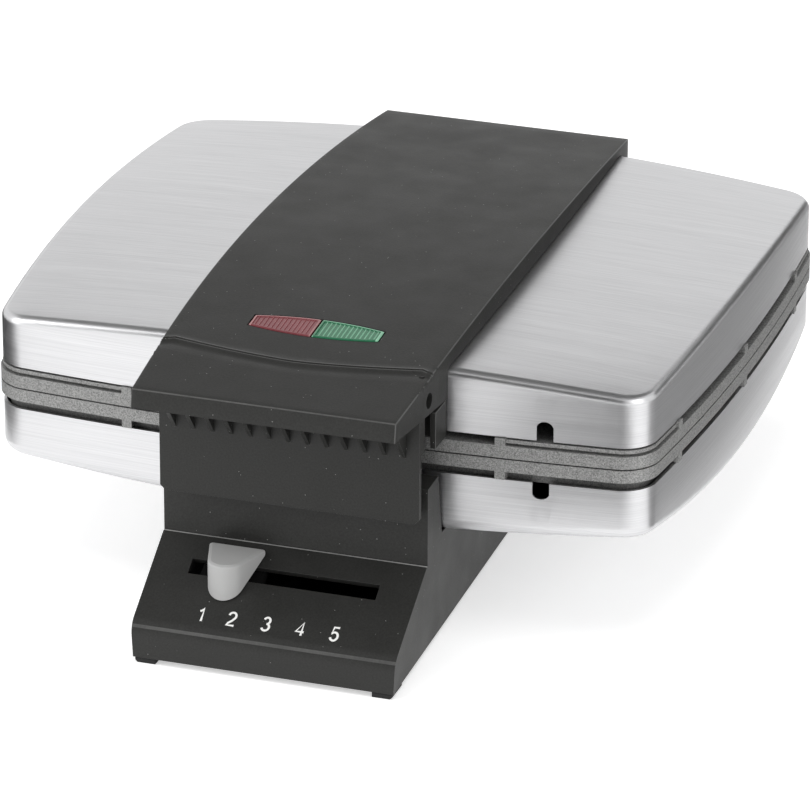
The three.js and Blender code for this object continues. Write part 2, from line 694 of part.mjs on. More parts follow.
const HEATER_END_MARGIN = 15.5;
const HEATER_FRONT_MARGIN = 20;
const HEATER_BACK_MARGIN = 3.4;
const HEATER_BRIDGE_MARGIN = 60;
const HEATER_INNER_X = 20;
const HEATER_OUTER_X = PAN_HALF_WIDTH - HEATER_END_MARGIN;
const HEATER_FRONT_Y = SHELL_CENTRE_Y - PAN_HALF_LENGTH + HEATER_FRONT_MARGIN;
const HEATER_BACK_Y = SHELL_CENTRE_Y + PAN_HALF_LENGTH - HEATER_BACK_MARGIN;
const HEATER_BRIDGE_Y = SHELL_CENTRE_Y + PAN_HALF_LENGTH - HEATER_BRIDGE_MARGIN;
const HEATER_END_X = 10;
const HEATER_STEPS = 78;

function heater(z) {
  const leftHalf = [
    [-HEATER_END_X, HEATER_BACK_Y],
    [-HEATER_OUTER_X, HEATER_BACK_Y],
    [-HEATER_OUTER_X, HEATER_FRONT_Y],
    [-HEATER_INNER_X, HEATER_FRONT_Y],
    [-HEATER_INNER_X, HEATER_BRIDGE_Y],
  ];
  const rightHalf = leftHalf.map(([x, y]) => [-x, y]).reverse();
  const corners = [...leftHalf, ...rightHalf].map(([x, y]) => new THREE.Vector3(x, y, z));
  const section = new THREE.Shape();
  section.absarc(0, 0, HEATER_RADIUS, 0, 2 * Math.PI, false);
  return new THREE.ExtrudeGeometry(section, {
    steps: HEATER_STEPS,
    curveSegments: 3,
    bevelEnabled: false,
    extrudePath: roundedRoute(corners, HEATER_BEND),
  });
}

addPiece('lower_heater', toSolid(heater(LOWER_PAN_BOTTOM - SEAT_GAP - HEATER_RADIUS)), HEATER_STEEL);
addPiece('upper_heater', toSolid(heater(UPPER_PAN_TOP + SEAT_GAP + HEATER_RADIUS)), HEATER_STEEL);

// Pedestal

function baseHalf(y) {
  const share = (y - BASE_FRONT_Y) / (TOWER_BACK_Y - BASE_FRONT_Y);
  return BASE_FRONT_HALF + (BASE_BACK_HALF - BASE_FRONT_HALF) * share;
}

function baseFlare(z) {
  const share = (z - BASE_BOTTOM_Z) / (RIDGE_Z - BASE_BOTTOM_Z);
  return BASE_FLARE * Math.min(Math.max(share, 0), 1);
}

// A side profile drawn across the pedestal: its sides draw in towards the back and lean out upwards
function pedestalBody(points, inset) {
  const shape = new THREE.Shape(points);
  const geometry = new THREE.ExtrudeGeometry(shape, { depth: 2, bevelEnabled: false });
  geometry.applyMatrix4(new THREE.Matrix4().set(0, 0, 1, -1, 1, 0, 0, 0, 0, 1, 0, 0, 0, 0, 0, 1));
  const position = geometry.attributes.position;
  for (let index = 0; index < position.count; index++) {
    const half = baseHalf(position.getY(index)) + baseFlare(position.getZ(index)) - inset;
    position.setX(index, position.getX(index) * half);
  }
  return toSolid(geometry);
}

function creaseArc(steps) {
  const turn = Math.PI / 2 - PANEL_ANGLE;
  const tangent = CREASE_ROUND * Math.tan(turn / 2);
  const centreY = BASE_FRONT_Y + CREASE_ROUND;
  const centreZ = CREASE_Z - tangent;
  const points = [];
  for (let step = 0; step <= steps; step++) {
    const angle = Math.PI - turn * step / steps;
    const y = centreY + CREASE_ROUND * Math.cos(angle);
    const z = centreZ + CREASE_ROUND * Math.sin(angle);
    points.push(new THREE.Vector2(y, z));
  }
  return points;
}

const DECK_TOP = LOWER_CROWN.apex + LOWER_CROWN.edge + 1;
const PANEL_DROP = BASE_WALL / Math.cos(PANEL_ANGLE);

const outerProfile = [
  new THREE.Vector2(BASE_FRONT_Y, BASE_BOTTOM_Z),
  ...creaseArc(3),
  new THREE.Vector2(RIDGE_Y, RIDGE_Z),
  new THREE.Vector2(RIDGE_Y, HORN_TOP_Z),
  new THREE.Vector2(HORN_BACK_Y, HORN_TOP_Z),
  new THREE.Vector2(HORN_FOOT_Y, HORN_FOOT_Z),
  new THREE.Vector2(TOWER_FRONT_Y, DECK_TOP),
  new THREE.Vector2(TOWER_FRONT_Y, TOWER_TOP_Z),
  new THREE.Vector2(TOWER_BACK_Y, TOWER_TOP_Z),
  new THREE.Vector2(TOWER_BACK_Y, BASE_BOTTOM_Z),
].reverse();

const innerFrontZ = CREASE_Z - BASE_WALL;
const innerFrontY = BASE_FRONT_Y + BASE_WALL;
const innerRidgeY = RIDGE_Y + BASE_WALL;
const panelInner = (y) => RIDGE_Z - (RIDGE_Y - y) * Math.tan(PANEL_ANGLE) - PANEL_DROP;
const innerProfile = [
  new THREE.Vector2(innerFrontY, BASE_BOTTOM_Z - OVERRUN),
  new THREE.Vector2(innerFrontY, innerFrontZ - PANEL_DROP / 2),
  new THREE.Vector2(innerFrontY + BASE_WALL, panelInner(innerFrontY + BASE_WALL)),
  new THREE.Vector2(innerRidgeY, panelInner(innerRidgeY)),
  new THREE.Vector2(innerRidgeY, HORN_TOP_Z - BASE_WALL),
  new THREE.Vector2(HORN_BACK_Y - BASE_WALL, HORN_TOP_Z - BASE_WALL),
  new THREE.Vector2(HORN_FOOT_Y - BASE_WALL, HORN_FOOT_Z),
  new THREE.Vector2(TOWER_FRONT_Y + BASE_WALL, DECK_TOP),
  new THREE.Vector2(TOWER_FRONT_Y + BASE_WALL, TOWER_TOP_Z - BASE_WALL),
  new THREE.Vector2(TOWER_BACK_Y - BASE_WALL, TOWER_TOP_Z - BASE_WALL),
  new THREE.Vector2(TOWER_BACK_Y - BASE_WALL, BASE_BOTTOM_Z - OVERRUN),
].reverse();

// Places on the slanted panel: along X, down its slope, and out of its face
function onPanel(geometry) {
  geometry.rotateX(PANEL_ANGLE);
  geometry.translate(0, RIDGE_Y, RIDGE_Z);
  return geometry;
}

function panelBlock(x0, x1, downFrom, downTo, outFrom, outTo) {
  const geometry = new THREE.BoxGeometry(x1 - x0, downTo - downFrom, outTo - outFrom);
  geometry.translate((x0 + x1) / 2, -(downFrom + downTo) / 2, (outFrom + outTo) / 2);
  return toSolid(onPanel(geometry));
}

const BASE_SCREWS = [
  [-BASE_SCREW_X, BASE_SCREW_FRONT_Y],
  [BASE_SCREW_X, BASE_SCREW_FRONT_Y],
  [-BASE_SCREW_X, BASE_SCREW_BACK_Y],
  [BASE_SCREW_X, BASE_SCREW_BACK_Y],
];

const PLATE_BOTTOM_Z = BASE_BOTTOM_Z;
const PLATE_TOP_Z = PLATE_BOTTOM_Z + BOTTOM_PLATE_THICKNESS;
const BOSS_BOTTOM_Z = PLATE_TOP_Z + SEAT_GAP;
const EAR_OUTER_X = BASE_BACK_HALF;
const EAR_INNER_X = EAR_OUTER_X - EAR_WIDTH;
const ARM_OUTER_X = EAR_INNER_X - ARM_GAP;
const ARM_INNER_X = ARM_OUTER_X - ARM_WIDTH;

function ear(side) {
  const x0 = side > 0 ? EAR_INNER_X : -EAR_OUTER_X;
  const x1 = side > 0 ? EAR_OUTER_X : -EAR_INNER_X;
  const disc = axle(x0, x1, HINGE_Y, HINGE_Z, HINGE_RADIUS, FINE_SIDES);
  const stalk = block(x0, x1, TOWER_FRONT_Y, TOWER_BACK_Y, TOWER_TOP_Z - BASE_WALL / 2, HINGE_Z);
  return disc.add(stalk);
}

let housing = pedestalBody(outerProfile, 0).add(ear(1)).add(ear(-1));
let cavity = pedestalBody(innerProfile, BASE_WALL);
const deckSkin = coverEnvelope(LOWER_CROWN, lowerEdge, SEAT_GAP + BASE_WALL);
cavity = cavity.subtract(deckSkin);
housing = housing.subtract(cavity).subtract(coverEnvelope(LOWER_CROWN, lowerEdge, SEAT_GAP));
for (const [x, y] of BASE_SCREWS) {
  const boss = post(x, y, BOSS_BOTTOM_Z, crownHeight(LOWER_CROWN, x, y) - SEAT_GAP - BASE_WALL / 2, BOSS_RADIUS, 16);
  const bore = post(x, y, 0, BOSS_BOTTOM_Z + BASE_SCREW_DEPTH + 2, BASE_SCREW_RADIUS + SEAT_GAP, 12);
  housing = housing.add(boss).subtract(bore);
}
housing = housing.subtract(axle(-EAR_OUTER_X - 1, EAR_OUTER_X + 1, HINGE_Y, HINGE_Z, HINGE_BORE_RADIUS));
housing = housing.subtract(panelBlock(
  SLOT_CENTRE_X - SLOT_LENGTH / 2, SLOT_CENTRE_X + SLOT_LENGTH / 2,
  SLOT_DOWN_SLOPE - SLOT_WIDTH / 2, SLOT_DOWN_SLOPE + SLOT_WIDTH / 2,
  -2 * BASE_WALL, OVERRUN,
));
housing = housing.subtract(post(LEVER_X, LEVER_PIVOT_Y, LEVER_Z, PARTING_Z, SPINDLE_HOLE));
for (const [x, y] of POSTS) {
  housing = housing.subtract(post(x, y, LEVER_Z, PARTING_Z, SCREW_RADIUS + SEAT_GAP, 12));
}
const glandHole = new THREE.CylinderGeometry(GLAND_NECK + SEAT_GAP, GLAND_NECK + SEAT_GAP, 4 * BASE_WALL, SIDES);
glandHole.translate(0, TOWER_BACK_Y, GLAND_Z);
housing = housing.subtract(toSolid(glandHole));
addPiece('base_housing', housing, BLACK_PLASTIC);

// Bottom plate, feet and screws of the pedestal

const plateInset = BASE_WALL + SEAT_GAP;
const plateProfile = [
  new THREE.Vector2(BASE_FRONT_Y + plateInset, PLATE_BOTTOM_Z),
  new THREE.Vector2(TOWER_BACK_Y - plateInset, PLATE_BOTTOM_Z),
  new THREE.Vector2(TOWER_BACK_Y - plateInset, PLATE_TOP_Z),
  new THREE.Vector2(BASE_FRONT_Y + plateInset, PLATE_TOP_Z),
];
let bottomPlate = pedestalBody(plateProfile, plateInset);
for (const [x, y] of BASE_SCREWS) {
  bottomPlate = bottomPlate.subtract(post(x, y, -1, PLATE_TOP_Z + 1, BASE_SCREW_RADIUS + SEAT_GAP, 12));
}
addPiece('base_bottom_plate', bottomPlate, BLACK_PLASTIC);

BASE_SCREWS.forEach(([x, y], index) => {
  const head = PLATE_BOTTOM_Z - SEAT_GAP;
  const length = SEAT_GAP + BOTTOM_PLATE_THICKNESS + BASE_SCREW_DEPTH;
  const solid = screw(x, y, head, 1, BASE_SCREW_RADIUS, BASE_SCREW_HEAD, BASE_SCREW_HEAD_HEIGHT, length);
  addPiece(`base_screw_${index + 1}`, solid, PIN_STEEL);
});

function foot(side, y0) {
  const outer = baseHalf(y0 + FOOT_LENGTH / 2);
  const x1 = outer;
  const x0 = outer - FOOT_WIDTH;
  const top = BASE_BOTTOM_Z - SEAT_GAP;
  const outline = [
    new THREE.Vector2(x0, 0),
    new THREE.Vector2(x1 - FOOT_CHAMFER, 0),
    new THREE.Vector2(x1, FOOT_CHAMFER),
    new THREE.Vector2(x1, top),
    new THREE.Vector2(x0, top),
  ].map((point) => new THREE.Vector2(side * point.x, point.y));
  const shape = new THREE.Shape(outline);
  const geometry = new THREE.ExtrudeGeometry(shape, { depth: FOOT_LENGTH, bevelEnabled: false });
  geometry.rotateX(Math.PI / 2);
  geometry.translate(0, y0 + FOOT_LENGTH, 0);
  return toSolid(geometry);
}

const FOOT_SETBACK = 0.6;
const FRONT_FOOT_Y = BASE_FRONT_Y + FOOT_SETBACK;
const BACK_FOOT_Y = TOWER_BACK_Y - FOOT_SETBACK - FOOT_LENGTH;
addPiece('foot_front_left', foot(-1, FRONT_FOOT_Y), RUBBER);
addPiece('foot_front_right', foot(1, FRONT_FOOT_Y), RUBBER);
addPiece('foot_back_left', foot(-1, BACK_FOOT_Y), RUBBER);
addPiece('foot_back_right', foot(1, BACK_FOOT_Y), RUBBER);

// Cord inlet and terminal block

function glandBody() {
  const outside = TOWER_BACK_Y + SEAT_GAP;
  const inside = TOWER_BACK_Y - BASE_WALL - GLAND_INSIDE;
  const profile = [
    new THREE.Vector2(GLAND_BORE, inside),
    new THREE.Vector2(GLAND_NECK, inside),
    new THREE.Vector2(GLAND_NECK, outside),
    new THREE.Vector2(GLAND_FLANGE, outside),
    new THREE.Vector2(GLAND_FLANGE, outside + GLAND_FLANGE_THICKNESS - 0.6),
    new THREE.Vector2(GLAND_FLANGE - 0.6, outside + GLAND_FLANGE_THICKNESS),
    new THREE.Vector2(GLAND_BORE, outside + GLAND_FLANGE_THICKNESS),
    new THREE.Vector2(GLAND_BORE, inside),
  ];
  const geometry = new THREE.LatheGeometry(profile, SIDES);
  geometry.translate(0, 0, GLAND_Z);
  return toSolid(geometry);
}

addPiece('cord_gland', glandBody(), RUBBER);

const terminalY = TOWER_BACK_Y - BASE_WALL - TERMINAL_SETBACK;
const terminalZ = PLATE_TOP_Z + SEAT_GAP;
let terminal = block(
  -TERMINAL_WIDTH / 2, TERMINAL_WIDTH / 2,
  terminalY - TERMINAL_DEPTH, terminalY,
  terminalZ, terminalZ + TERMINAL_HEIGHT,
);
for (let hole = 0; hole < TERMINAL_HOLES; hole++) {
  const x = (hole - (TERMINAL_HOLES - 1) / 2) * TERMINAL_WIDTH / TERMINAL_HOLES;
  const well = post(x, terminalY - TERMINAL_DEPTH / 2, terminalZ + TERMINAL_HEIGHT / 2, terminalZ + 2 * TERMINAL_HEIGHT, 2.5, 12);
  terminal = terminal.subtract(well);
}
addPiece('terminal_block', terminal, CERAMIC);

// Thermostat, spindle and lever

const thermostatTop = LOWER_PAN_BOTTOM - SEAT_GAP;
const thermostatBottom = thermostatTop - THERMOSTAT_HEIGHT;
addPiece('thermostat', post(LEVER_X, LEVER_PIVOT_Y, thermostatBottom, thermostatTop, THERMOSTAT_RADIUS, FINE_SIDES), CERAMIC);
addPiece('thermal_fuse', axle(
  -FUSE_LENGTH / 2, FUSE_LENGTH / 2,
  FUSE_Y, LOWER_PAN_BOTTOM - SEAT_GAP - FUSE_RADIUS, FUSE_RADIUS, 14,
), CERAMIC);

const leverGroup = new THREE.Group();
leverGroup.position.set(LEVER_X, LEVER_PIVOT_Y, 0);
leverGroup.rotation.z = Math.atan2(KNOB_REST_X - LEVER_X, LEVER_RADIUS);
appliance.add(leverGroup);

const forkHalf = LEVER_PIN_RADIUS + LEVER_FORK_PLAY;
const leverEnd = LEVER_RADIUS + LEVER_OVERREACH;
const leverTop = LEVER_Z + LEVER_THICKNESS;
let lever = block(-forkHalf - LEVER_ARM, forkHalf + LEVER_ARM, -leverEnd, 0, LEVER_Z, leverTop);
lever = lever.subtract(block(-forkHalf, forkHalf, -leverEnd - 1, -LEVER_RADIUS + forkHalf, LEVER_Z - 1, leverTop + 1));
lever = lever.add(post(0, 0, LEVER_Z, leverTop, LEVER_HUB_RADIUS));
lever = lever.add(post(0, 0, LEVER_Z, thermostatBottom - SEAT_GAP, SPINDLE_RADIUS));
addPiece('thermostat_lever', lever, GREY_PLASTIC, leverGroup);

// Slider knob and its carriage

function knobOutline() {
  const back = RIDGE_Y - KNOB_BACK_SETBACK;
  const noseY = back - KNOB_REACH + KNOB_NOSE_RADIUS;
  const half = KNOB_WIDTH / 2;
  const shape = new THREE.Shape();
  const lean = Math.atan2(half - KNOB_NOSE_RADIUS, KNOB_REACH - KNOB_NOSE_RADIUS);
  shape.moveTo(half, back);
  shape.lineTo(-half, back);
  shape.absarc(0, noseY, KNOB_NOSE_RADIUS, Math.PI + lean, 2 * Math.PI - lean, false);
  shape.closePath();
  return shape;
}

const knobGeometry = new THREE.ExtrudeGeometry(knobOutline(), { depth: RIDGE_Z, bevelEnabled: false, curveSegments: 10 });
knobGeometry.translate(KNOB_REST_X, 0, -KNOB_BELOW_RIDGE);
const belowPanel = panelBlock(-SHELL_HALF_WIDTH, SHELL_HALF_WIDTH, -OVERALL_DEPTH, OVERALL_DEPTH, -OVERALL_DEPTH, SLIDE_GAP);
const stem = panelBlock(
  KNOB_REST_X - STEM_WIDTH / 2, KNOB_REST_X + STEM_WIDTH / 2,
  SLOT_DOWN_SLOPE - STEM_THICKNESS / 2, SLOT_DOWN_SLOPE + STEM_THICKNESS / 2,
  -BASE_WALL, SLIDE_GAP + 1,
);
addPiece('temperature_knob', toSolid(knobGeometry).subtract(belowPanel).add(stem), GREY_PLASTIC);

const carriageTop = -BASE_WALL - SEAT_GAP;
const carriagePlate = panelBlock(
  KNOB_REST_X - CARRIAGE_WIDTH / 2, KNOB_REST_X + CARRIAGE_WIDTH / 2,
  SLOT_DOWN_SLOPE - CARRIAGE_DEPTH / 2, SLOT_DOWN_SLOPE + CARRIAGE_DEPTH / 2,
  carriageTop - CARRIAGE_THICKNESS, carriageTop,
);
const carriageZ = SLOT_Z - CARRIAGE_MIDDLE * Math.cos(PANEL_ANGLE);
const carriagePin = post(KNOB_REST_X, LEVER_PIN_Y, LEVER_Z - 2, carriageZ, LEVER_PIN_RADIUS, 14);
addPiece('slider_carriage', carriagePlate.add(carriagePin), BLACK_PLASTIC);

// Screws that hold the plates in the covers

POSTS.forEach(([x, y], index) => {
  const deckUnder = crownHeight(LOWER_CROWN, x, y) - 2 * SEAT_GAP - BASE_WALL - 1;
  const lowerLength = crownHeight(LOWER_CROWN, x, y) - deckUnder + SCREW_DEPTH;
  const lower = screw(x, y, deckUnder, 1, SCREW_RADIUS, SCREW_HEAD_RADIUS, SCREW_HEAD_HEIGHT, lowerLength);
  addPiece(`lower_plate_screw_${index + 1}`, lower, PIN_STEEL);
  const coverTop = crownHeight(UPPER_CROWN, x, y) + SEAT_GAP;
  const upper = screw(x, y, coverTop, -1, SCREW_RADIUS, SCREW_HEAD_RADIUS, SCREW_HEAD_HEIGHT, SCREW_DEPTH + COVER_WALL);
  addPiece(`upper_plate_screw_${index + 1}`, upper, PIN_STEEL);
});

// Top strap: an arch seen from the side, with bowed sides seen from above

function strapTop(y) {
  const drop = y < 0
    ? STRAP_FRONT_DROP * parabola(y, STRAP_FRONT_TOP_Y)
    : STRAP_BACK_DROP * parabola(y, STRAP_BACK_Y);
  return STRAP_APEX - drop;
}

function strapHalf(y) {
  const share = 1 - parabola(y, LIP_FRONT_Y);
  return STRAP_HALF_WIDTH + STRAP_SIDE_BOW * Math.max(share, 0);
}

const STRAP_STEPS = 20;

function strapStations(front, back) {
  const list = [];
  for (let step = 0; step <= STRAP_STEPS; step++) {
    list.push(front + (back - front) * step / STRAP_STEPS);
  }
  return list;
}

// A bar whose four long edges follow the strap's width and the two given heights
function strapBar(front, back, inset, topAt, bottomAt) {
  const stations = strapStations(front, back);
  const vertices = [];
  stations.forEach((y) => {
    const half = strapHalf(y) - inset;
    vertices.push(-half, y, bottomAt(y), half, y, bottomAt(y), half, y, topAt(y), -half, y, topAt(y));
  });
  const triangles = [];
  for (let station = 0; station < STRAP_STEPS; station++) {
    for (let side = 0; side < 4; side++) {
      const next = (side + 1) % 4;
      const a = 4 * station + side;
      const b = 4 * station + next;
      triangles.push(a, b, b + 4, a, b + 4, a + 4);
    }
  }
  const last = 4 * STRAP_STEPS;
  triangles.push(0, 2, 1, 0, 3, 2, last, last + 1, last + 2, last, last + 2, last + 3);
  triangles.reverse();
  const geometry = new THREE.BufferGeometry();
  geometry.setAttribute('position', new THREE.BufferAttribute(new Float32Array(vertices), 3));
  geometry.setIndex(triangles);
  const solid = toSolid(geometry);
  return solid;
}

const coverFrontY = SHELL_CENTRE_Y - SHELL_HALF_DEPTH + COVER_INSET;
const coverBackY = SHELL_CENTRE_Y + SHELL_HALF_DEPTH - COVER_INSET;

function lipUnderside(y) {
  const share = Math.min(1, (y - LIP_FRONT_Y) / (coverFrontY - LIP_FRONT_Y));
  return LIP_UNDERSIDE_FRONT + (LIP_UNDERSIDE_BACK - LIP_UNDERSIDE_FRONT) * share;
}

const upperSpace = coverEnvelope(UPPER_CROWN, upperEdge, SEAT_GAP);
const lipLine = (y) => strapTop(Math.max(y, STRAP_FRONT_TOP_Y)) - (y < STRAP_FRONT_TOP_Y ? LIP_HEIGHT : 0);
let strap = strapBar(LIP_FRONT_Y + 0.01, STRAP_BACK_Y, 0, (y) => (y < STRAP_FRONT_TOP_Y ? lipLine(y) + LIP_HEIGHT : strapTop(y)), lipUnderside);
const lipSlant = [
  new THREE.Vector2(LIP_FRONT_Y - OVERRUN, LIP_UNDERSIDE_FRONT - OVERRUN),
  new THREE.Vector2(LIP_FRONT_Y - STRAP_LIP_SLOPE * OVERRUN / LIP_HEIGHT, LIP_UNDERSIDE_FRONT - OVERRUN),
  new THREE.Vector2(STRAP_FRONT_TOP_Y + STRAP_LIP_SLOPE * OVERRUN / LIP_HEIGHT, LIP_UNDERSIDE_FRONT + LIP_HEIGHT + OVERRUN),
  new THREE.Vector2(LIP_FRONT_Y - OVERRUN, LIP_UNDERSIDE_FRONT + LIP_HEIGHT + OVERRUN),
];
strap = strap.subtract(across(lipSlant, -SHELL_HALF_WIDTH, SHELL_HALF_WIDTH));
const tailFront = coverBackY + SEAT_GAP;
strap = strap.subtract(block(
  -SHELL_HALF_WIDTH, SHELL_HALF_WIDTH, coverFrontY + CORNER_RADIUS, tailFront, 0, LIP_UNDERSIDE_BACK + 2,
));
const tail = strapBar(tailFront, STRAP_BACK_Y, 0, (y) => strapTop(y) - STRAP_WALL / 2, () => STRAP_TAIL_Z);
strap = strap.add(tail);
strap = strap.subtract(strapBar(
  STRAP_FRONT_TOP_Y + STRAP_WALL, STRAP_BACK_Y - STRAP_WALL, STRAP_WALL,
  (y) => strapTop(y) - STRAP_WALL, () => 0,
));
strap = strap.subtract(upperSpace);

// Lens opening, cut square to the strap's surface
const lensSlope = Math.atan(2 * STRAP_FRONT_DROP * -LENS_Y / STRAP_FRONT_TOP_Y ** 2);

function lensOutline(x0, x1, grow) {
  const edge = (x) => {
    const share = parabola(x, LENS_HALF_WIDTH);
    return (LENS_MIDDLE_HEIGHT - (LENS_MIDDLE_HEIGHT - LENS_END_HEIGHT) * share) / 2;
  };
  const steps = 5;
  const front = [];
  const back = [];
  for (let step = 0; step <= steps; step++) {
    const x = x0 + (x1 - x0) * step / steps;
    const wide = x + (step === 0 ? -grow : 0) + (step === steps ? grow : 0);
    front.push(new THREE.Vector2(wide, -edge(x) - grow));
    back.push(new THREE.Vector2(wide, edge(x) + grow));
  }
  return [...front, ...back.reverse()];
}

function lensSolid(outline, z0, z1) {
  const shape = new THREE.Shape(outline);
  const geometry = new THREE.ExtrudeGeometry(shape, { depth: z1 - z0, bevelEnabled: false });
  geometry.translate(0, 0, z0);
  geometry.rotateX(lensSlope);
  geometry.translate(0, LENS_Y, strapTop(LENS_Y));
  return toSolid(geometry);
}

const lensWindow = lensOutline(-LENS_HALF_WIDTH, LENS_HALF_WIDTH, SEAT_GAP);
strap = strap.subtract(lensSolid(lensWindow, -2 * STRAP_WALL, OVERRUN));
strap = strap.subtract(axle(-SHELL_HALF_WIDTH, SHELL_HALF_WIDTH, SIDE_PIN_Y, SIDE_PIN_Z, SIDE_PIN_RADIUS + SEAT_GAP, SIDES));

const LENS_PROUD = 0.3;
const lensBack = LENS_PROUD - LENS_THICKNESS;
addPiece('indicator_lens_red', lensSolid(lensOutline(-LENS_HALF_WIDTH, -LENS_SPLIT / 2, 0), lensBack, LENS_PROUD), RED_LENS);
addPiece('indicator_lens_green', lensSolid(lensOutline(LENS_SPLIT / 2, LENS_HALF_WIDTH, 0), lensBack, LENS_PROUD), GREEN_LENS);

// Lamps on their board, which hangs from two posts of the strap under the lenses
const lampY = LENS_Y + LAMP_RADIUS;
const lensUnder = strapTop(LENS_Y) - LENS_THICKNESS - 1.5;
const lampZ = lensUnder - LAMP_RADIUS;
const boardTop = lampZ - LAMP_RADIUS - SEAT_GAP;
const lampX = LENS_HALF_WIDTH / 2;
addPiece('lamp_red', axle(-lampX - LAMP_LENGTH / 2, -lampX + LAMP_LENGTH / 2, lampY, lampZ, LAMP_RADIUS, 12), RED_LENS);
addPiece('lamp_green', axle(lampX - LAMP_LENGTH / 2, lampX + LAMP_LENGTH / 2, lampY, lampZ, LAMP_RADIUS, 12), GREEN_LENS);
const lampBoard = block(
  -LAMP_BOARD_HALF_WIDTH, LAMP_BOARD_HALF_WIDTH,
  lampBoardFront, lampBoardBack,
  boardTop - LAMP_BOARD_THICKNESS, boardTop,
);
addPiece('lamp_board', lampBoard, BOARD_PLASTIC);
const lampPostY = lampBoardBack - LAMP_POST_RADIUS;
for (const side of [-1, 1]) {
  const postTop = strapTop(lampPostY) - STRAP_WALL / 2;
  const lampPost = post(side * LAMP_POST_X, lampPostY, boardTop + SEAT_GAP, postTop, LAMP_POST_RADIUS, 14);
  strap = strap.add(lampPost);
}
addPiece('top_strap', strap, BLACK_PLASTIC);

// Guard: a hanging panel with side returns and grip ribs under the lip

const guardBackY = GUARD_FRONT_Y + GUARD_WALL;
const guardTopHalf = strapHalf(GUARD_FRONT_Y) - STRAP_WALL - SEAT_GAP;
const guardShoulderZ = lipUnderside(GUARD_FRONT_Y + GUARD_RETURN) - SEAT_GAP;
const guardTopZ = strapTop(GUARD_FRONT_Y) - STRAP_WALL - SEAT_GAP;

const guardOutline = [
  [-GUARD_HALF_WIDTH + GUARD_CHAMFER, GUARD_BOTTOM_Z],
  [GUARD_HALF_WIDTH - GUARD_CHAMFER, GUARD_BOTTOM_Z],
  [GUARD_HALF_WIDTH, GUARD_BOTTOM_Z + GUARD_CHAMFER],
  [GUARD_HALF_WIDTH, guardShoulderZ],
  [guardTopHalf, guardShoulderZ],
  [guardTopHalf, guardTopZ],
  [-guardTopHalf, guardTopZ],
  [-guardTopHalf, guardShoulderZ],
  [-GUARD_HALF_WIDTH, guardShoulderZ],
  [-GUARD_HALF_WIDTH, GUARD_BOTTOM_Z + GUARD_CHAMFER],
].map(([x, z]) => new THREE.Vector2(x, z));

function facing(outline, yFront, yBack) {
  const shape = new THREE.Shape(outline);
  const geometry = new THREE.ExtrudeGeometry(shape, { depth: yBack - yFront, bevelEnabled: false });
  geometry.rotateX(Math.PI / 2);
  geometry.translate(0, yBack, 0);
  return toSolid(geometry);
}

let guard = facing(guardOutline, GUARD_FRONT_Y, guardBackY);
for (const side of [-1, 1]) {
  const inner = side * (GUARD_HALF_WIDTH - GUARD_WALL);
  const outer = side * GUARD_HALF_WIDTH;
  guard = guard.add(block(
    Math.min(inner, outer), Math.max(inner, outer),
    GUARD_FRONT_Y + GUARD_WALL / 2, GUARD_FRONT_Y + GUARD_RETURN,
    GUARD_RETURN_Z, guardShoulderZ,
  ));
}
const ribTopZ = strapTop(GUARD_FRONT_Y - RIB_REACH) - STRAP_WALL - SEAT_GAP;
const ribProfile = [
  new THREE.Vector2(GUARD_FRONT_Y + GUARD_WALL / 2, RIB_TIP_Z),
  new THREE.Vector2(GUARD_FRONT_Y + GUARD_WALL / 2, ribTopZ),
  new THREE.Vector2(GUARD_FRONT_Y - RIB_REACH, ribTopZ),
  new THREE.Vector2(GUARD_FRONT_Y - RIB_REACH, lipUnderside(GUARD_FRONT_Y)),
  new THREE.Vector2(GUARD_FRONT_Y, RIB_TIP_Z),
];
for (let rib = 0; rib < RIB_COUNT; rib++) {
  const x = (rib - (RIB_COUNT - 1) / 2) * RIB_PITCH;
  guard = guard.add(across(ribProfile, x - RIB_THICKNESS / 2, x + RIB_THICKNESS / 2));
}
addPiece('handle_guard', guard, BLACK_PLASTIC);

// Bracket between the guard and the upper cover: a web with a cheek at each side
const bracketBackY = coverFrontY - SEAT_GAP;
const bracketBottomZ = UPPER_RIM_TOP + SEAT_GAP;
const bracketTopZ = lipUnderside(BRACKET_FRONT_Y) - SEAT_GAP - 0.9;
const bracketHalf = strapHalf(bracketBackY);
let bracket = block(-bracketHalf, bracketHalf, BRACKET_FRONT_Y, bracketBackY, bracketBottomZ, bracketTopZ);
bracket = bracket.subtract(block(
  -bracketHalf + BRACKET_WALL, bracketHalf - BRACKET_WALL,
  BRACKET_FRONT_Y - 1, bracketBackY - BRACKET_WALL,
  bracketBottomZ - 1, bracketTopZ + 1,
));
addPiece('handle_bracket', bracket, BLACK_PLASTIC);

// Side pins that lock the guard in the strap
for (const side of [-1, 1]) {
  const outer = strapHalf(SIDE_PIN_Y) - SIDE_PIN_RECESS;
  const inner = outer - SIDE_PIN_LENGTH;
  const x0 = side > 0 ? inner : -outer;
  const name = side > 0 ? 'guard_pin_right' : 'guard_pin_left';
  addPiece(name, axle(x0, x0 + SIDE_PIN_LENGTH, SIDE_PIN_Y, SIDE_PIN_Z, SIDE_PIN_RADIUS, 16), PIN_STEEL);
}

// Hinge: a pin through the pedestal's ears and the lid's two arms

const armFrontY = coverBackY + SEAT_GAP;
const armBackY = STRAP_BACK_Y - STRAP_WALL - ARM_BACK_SETBACK;

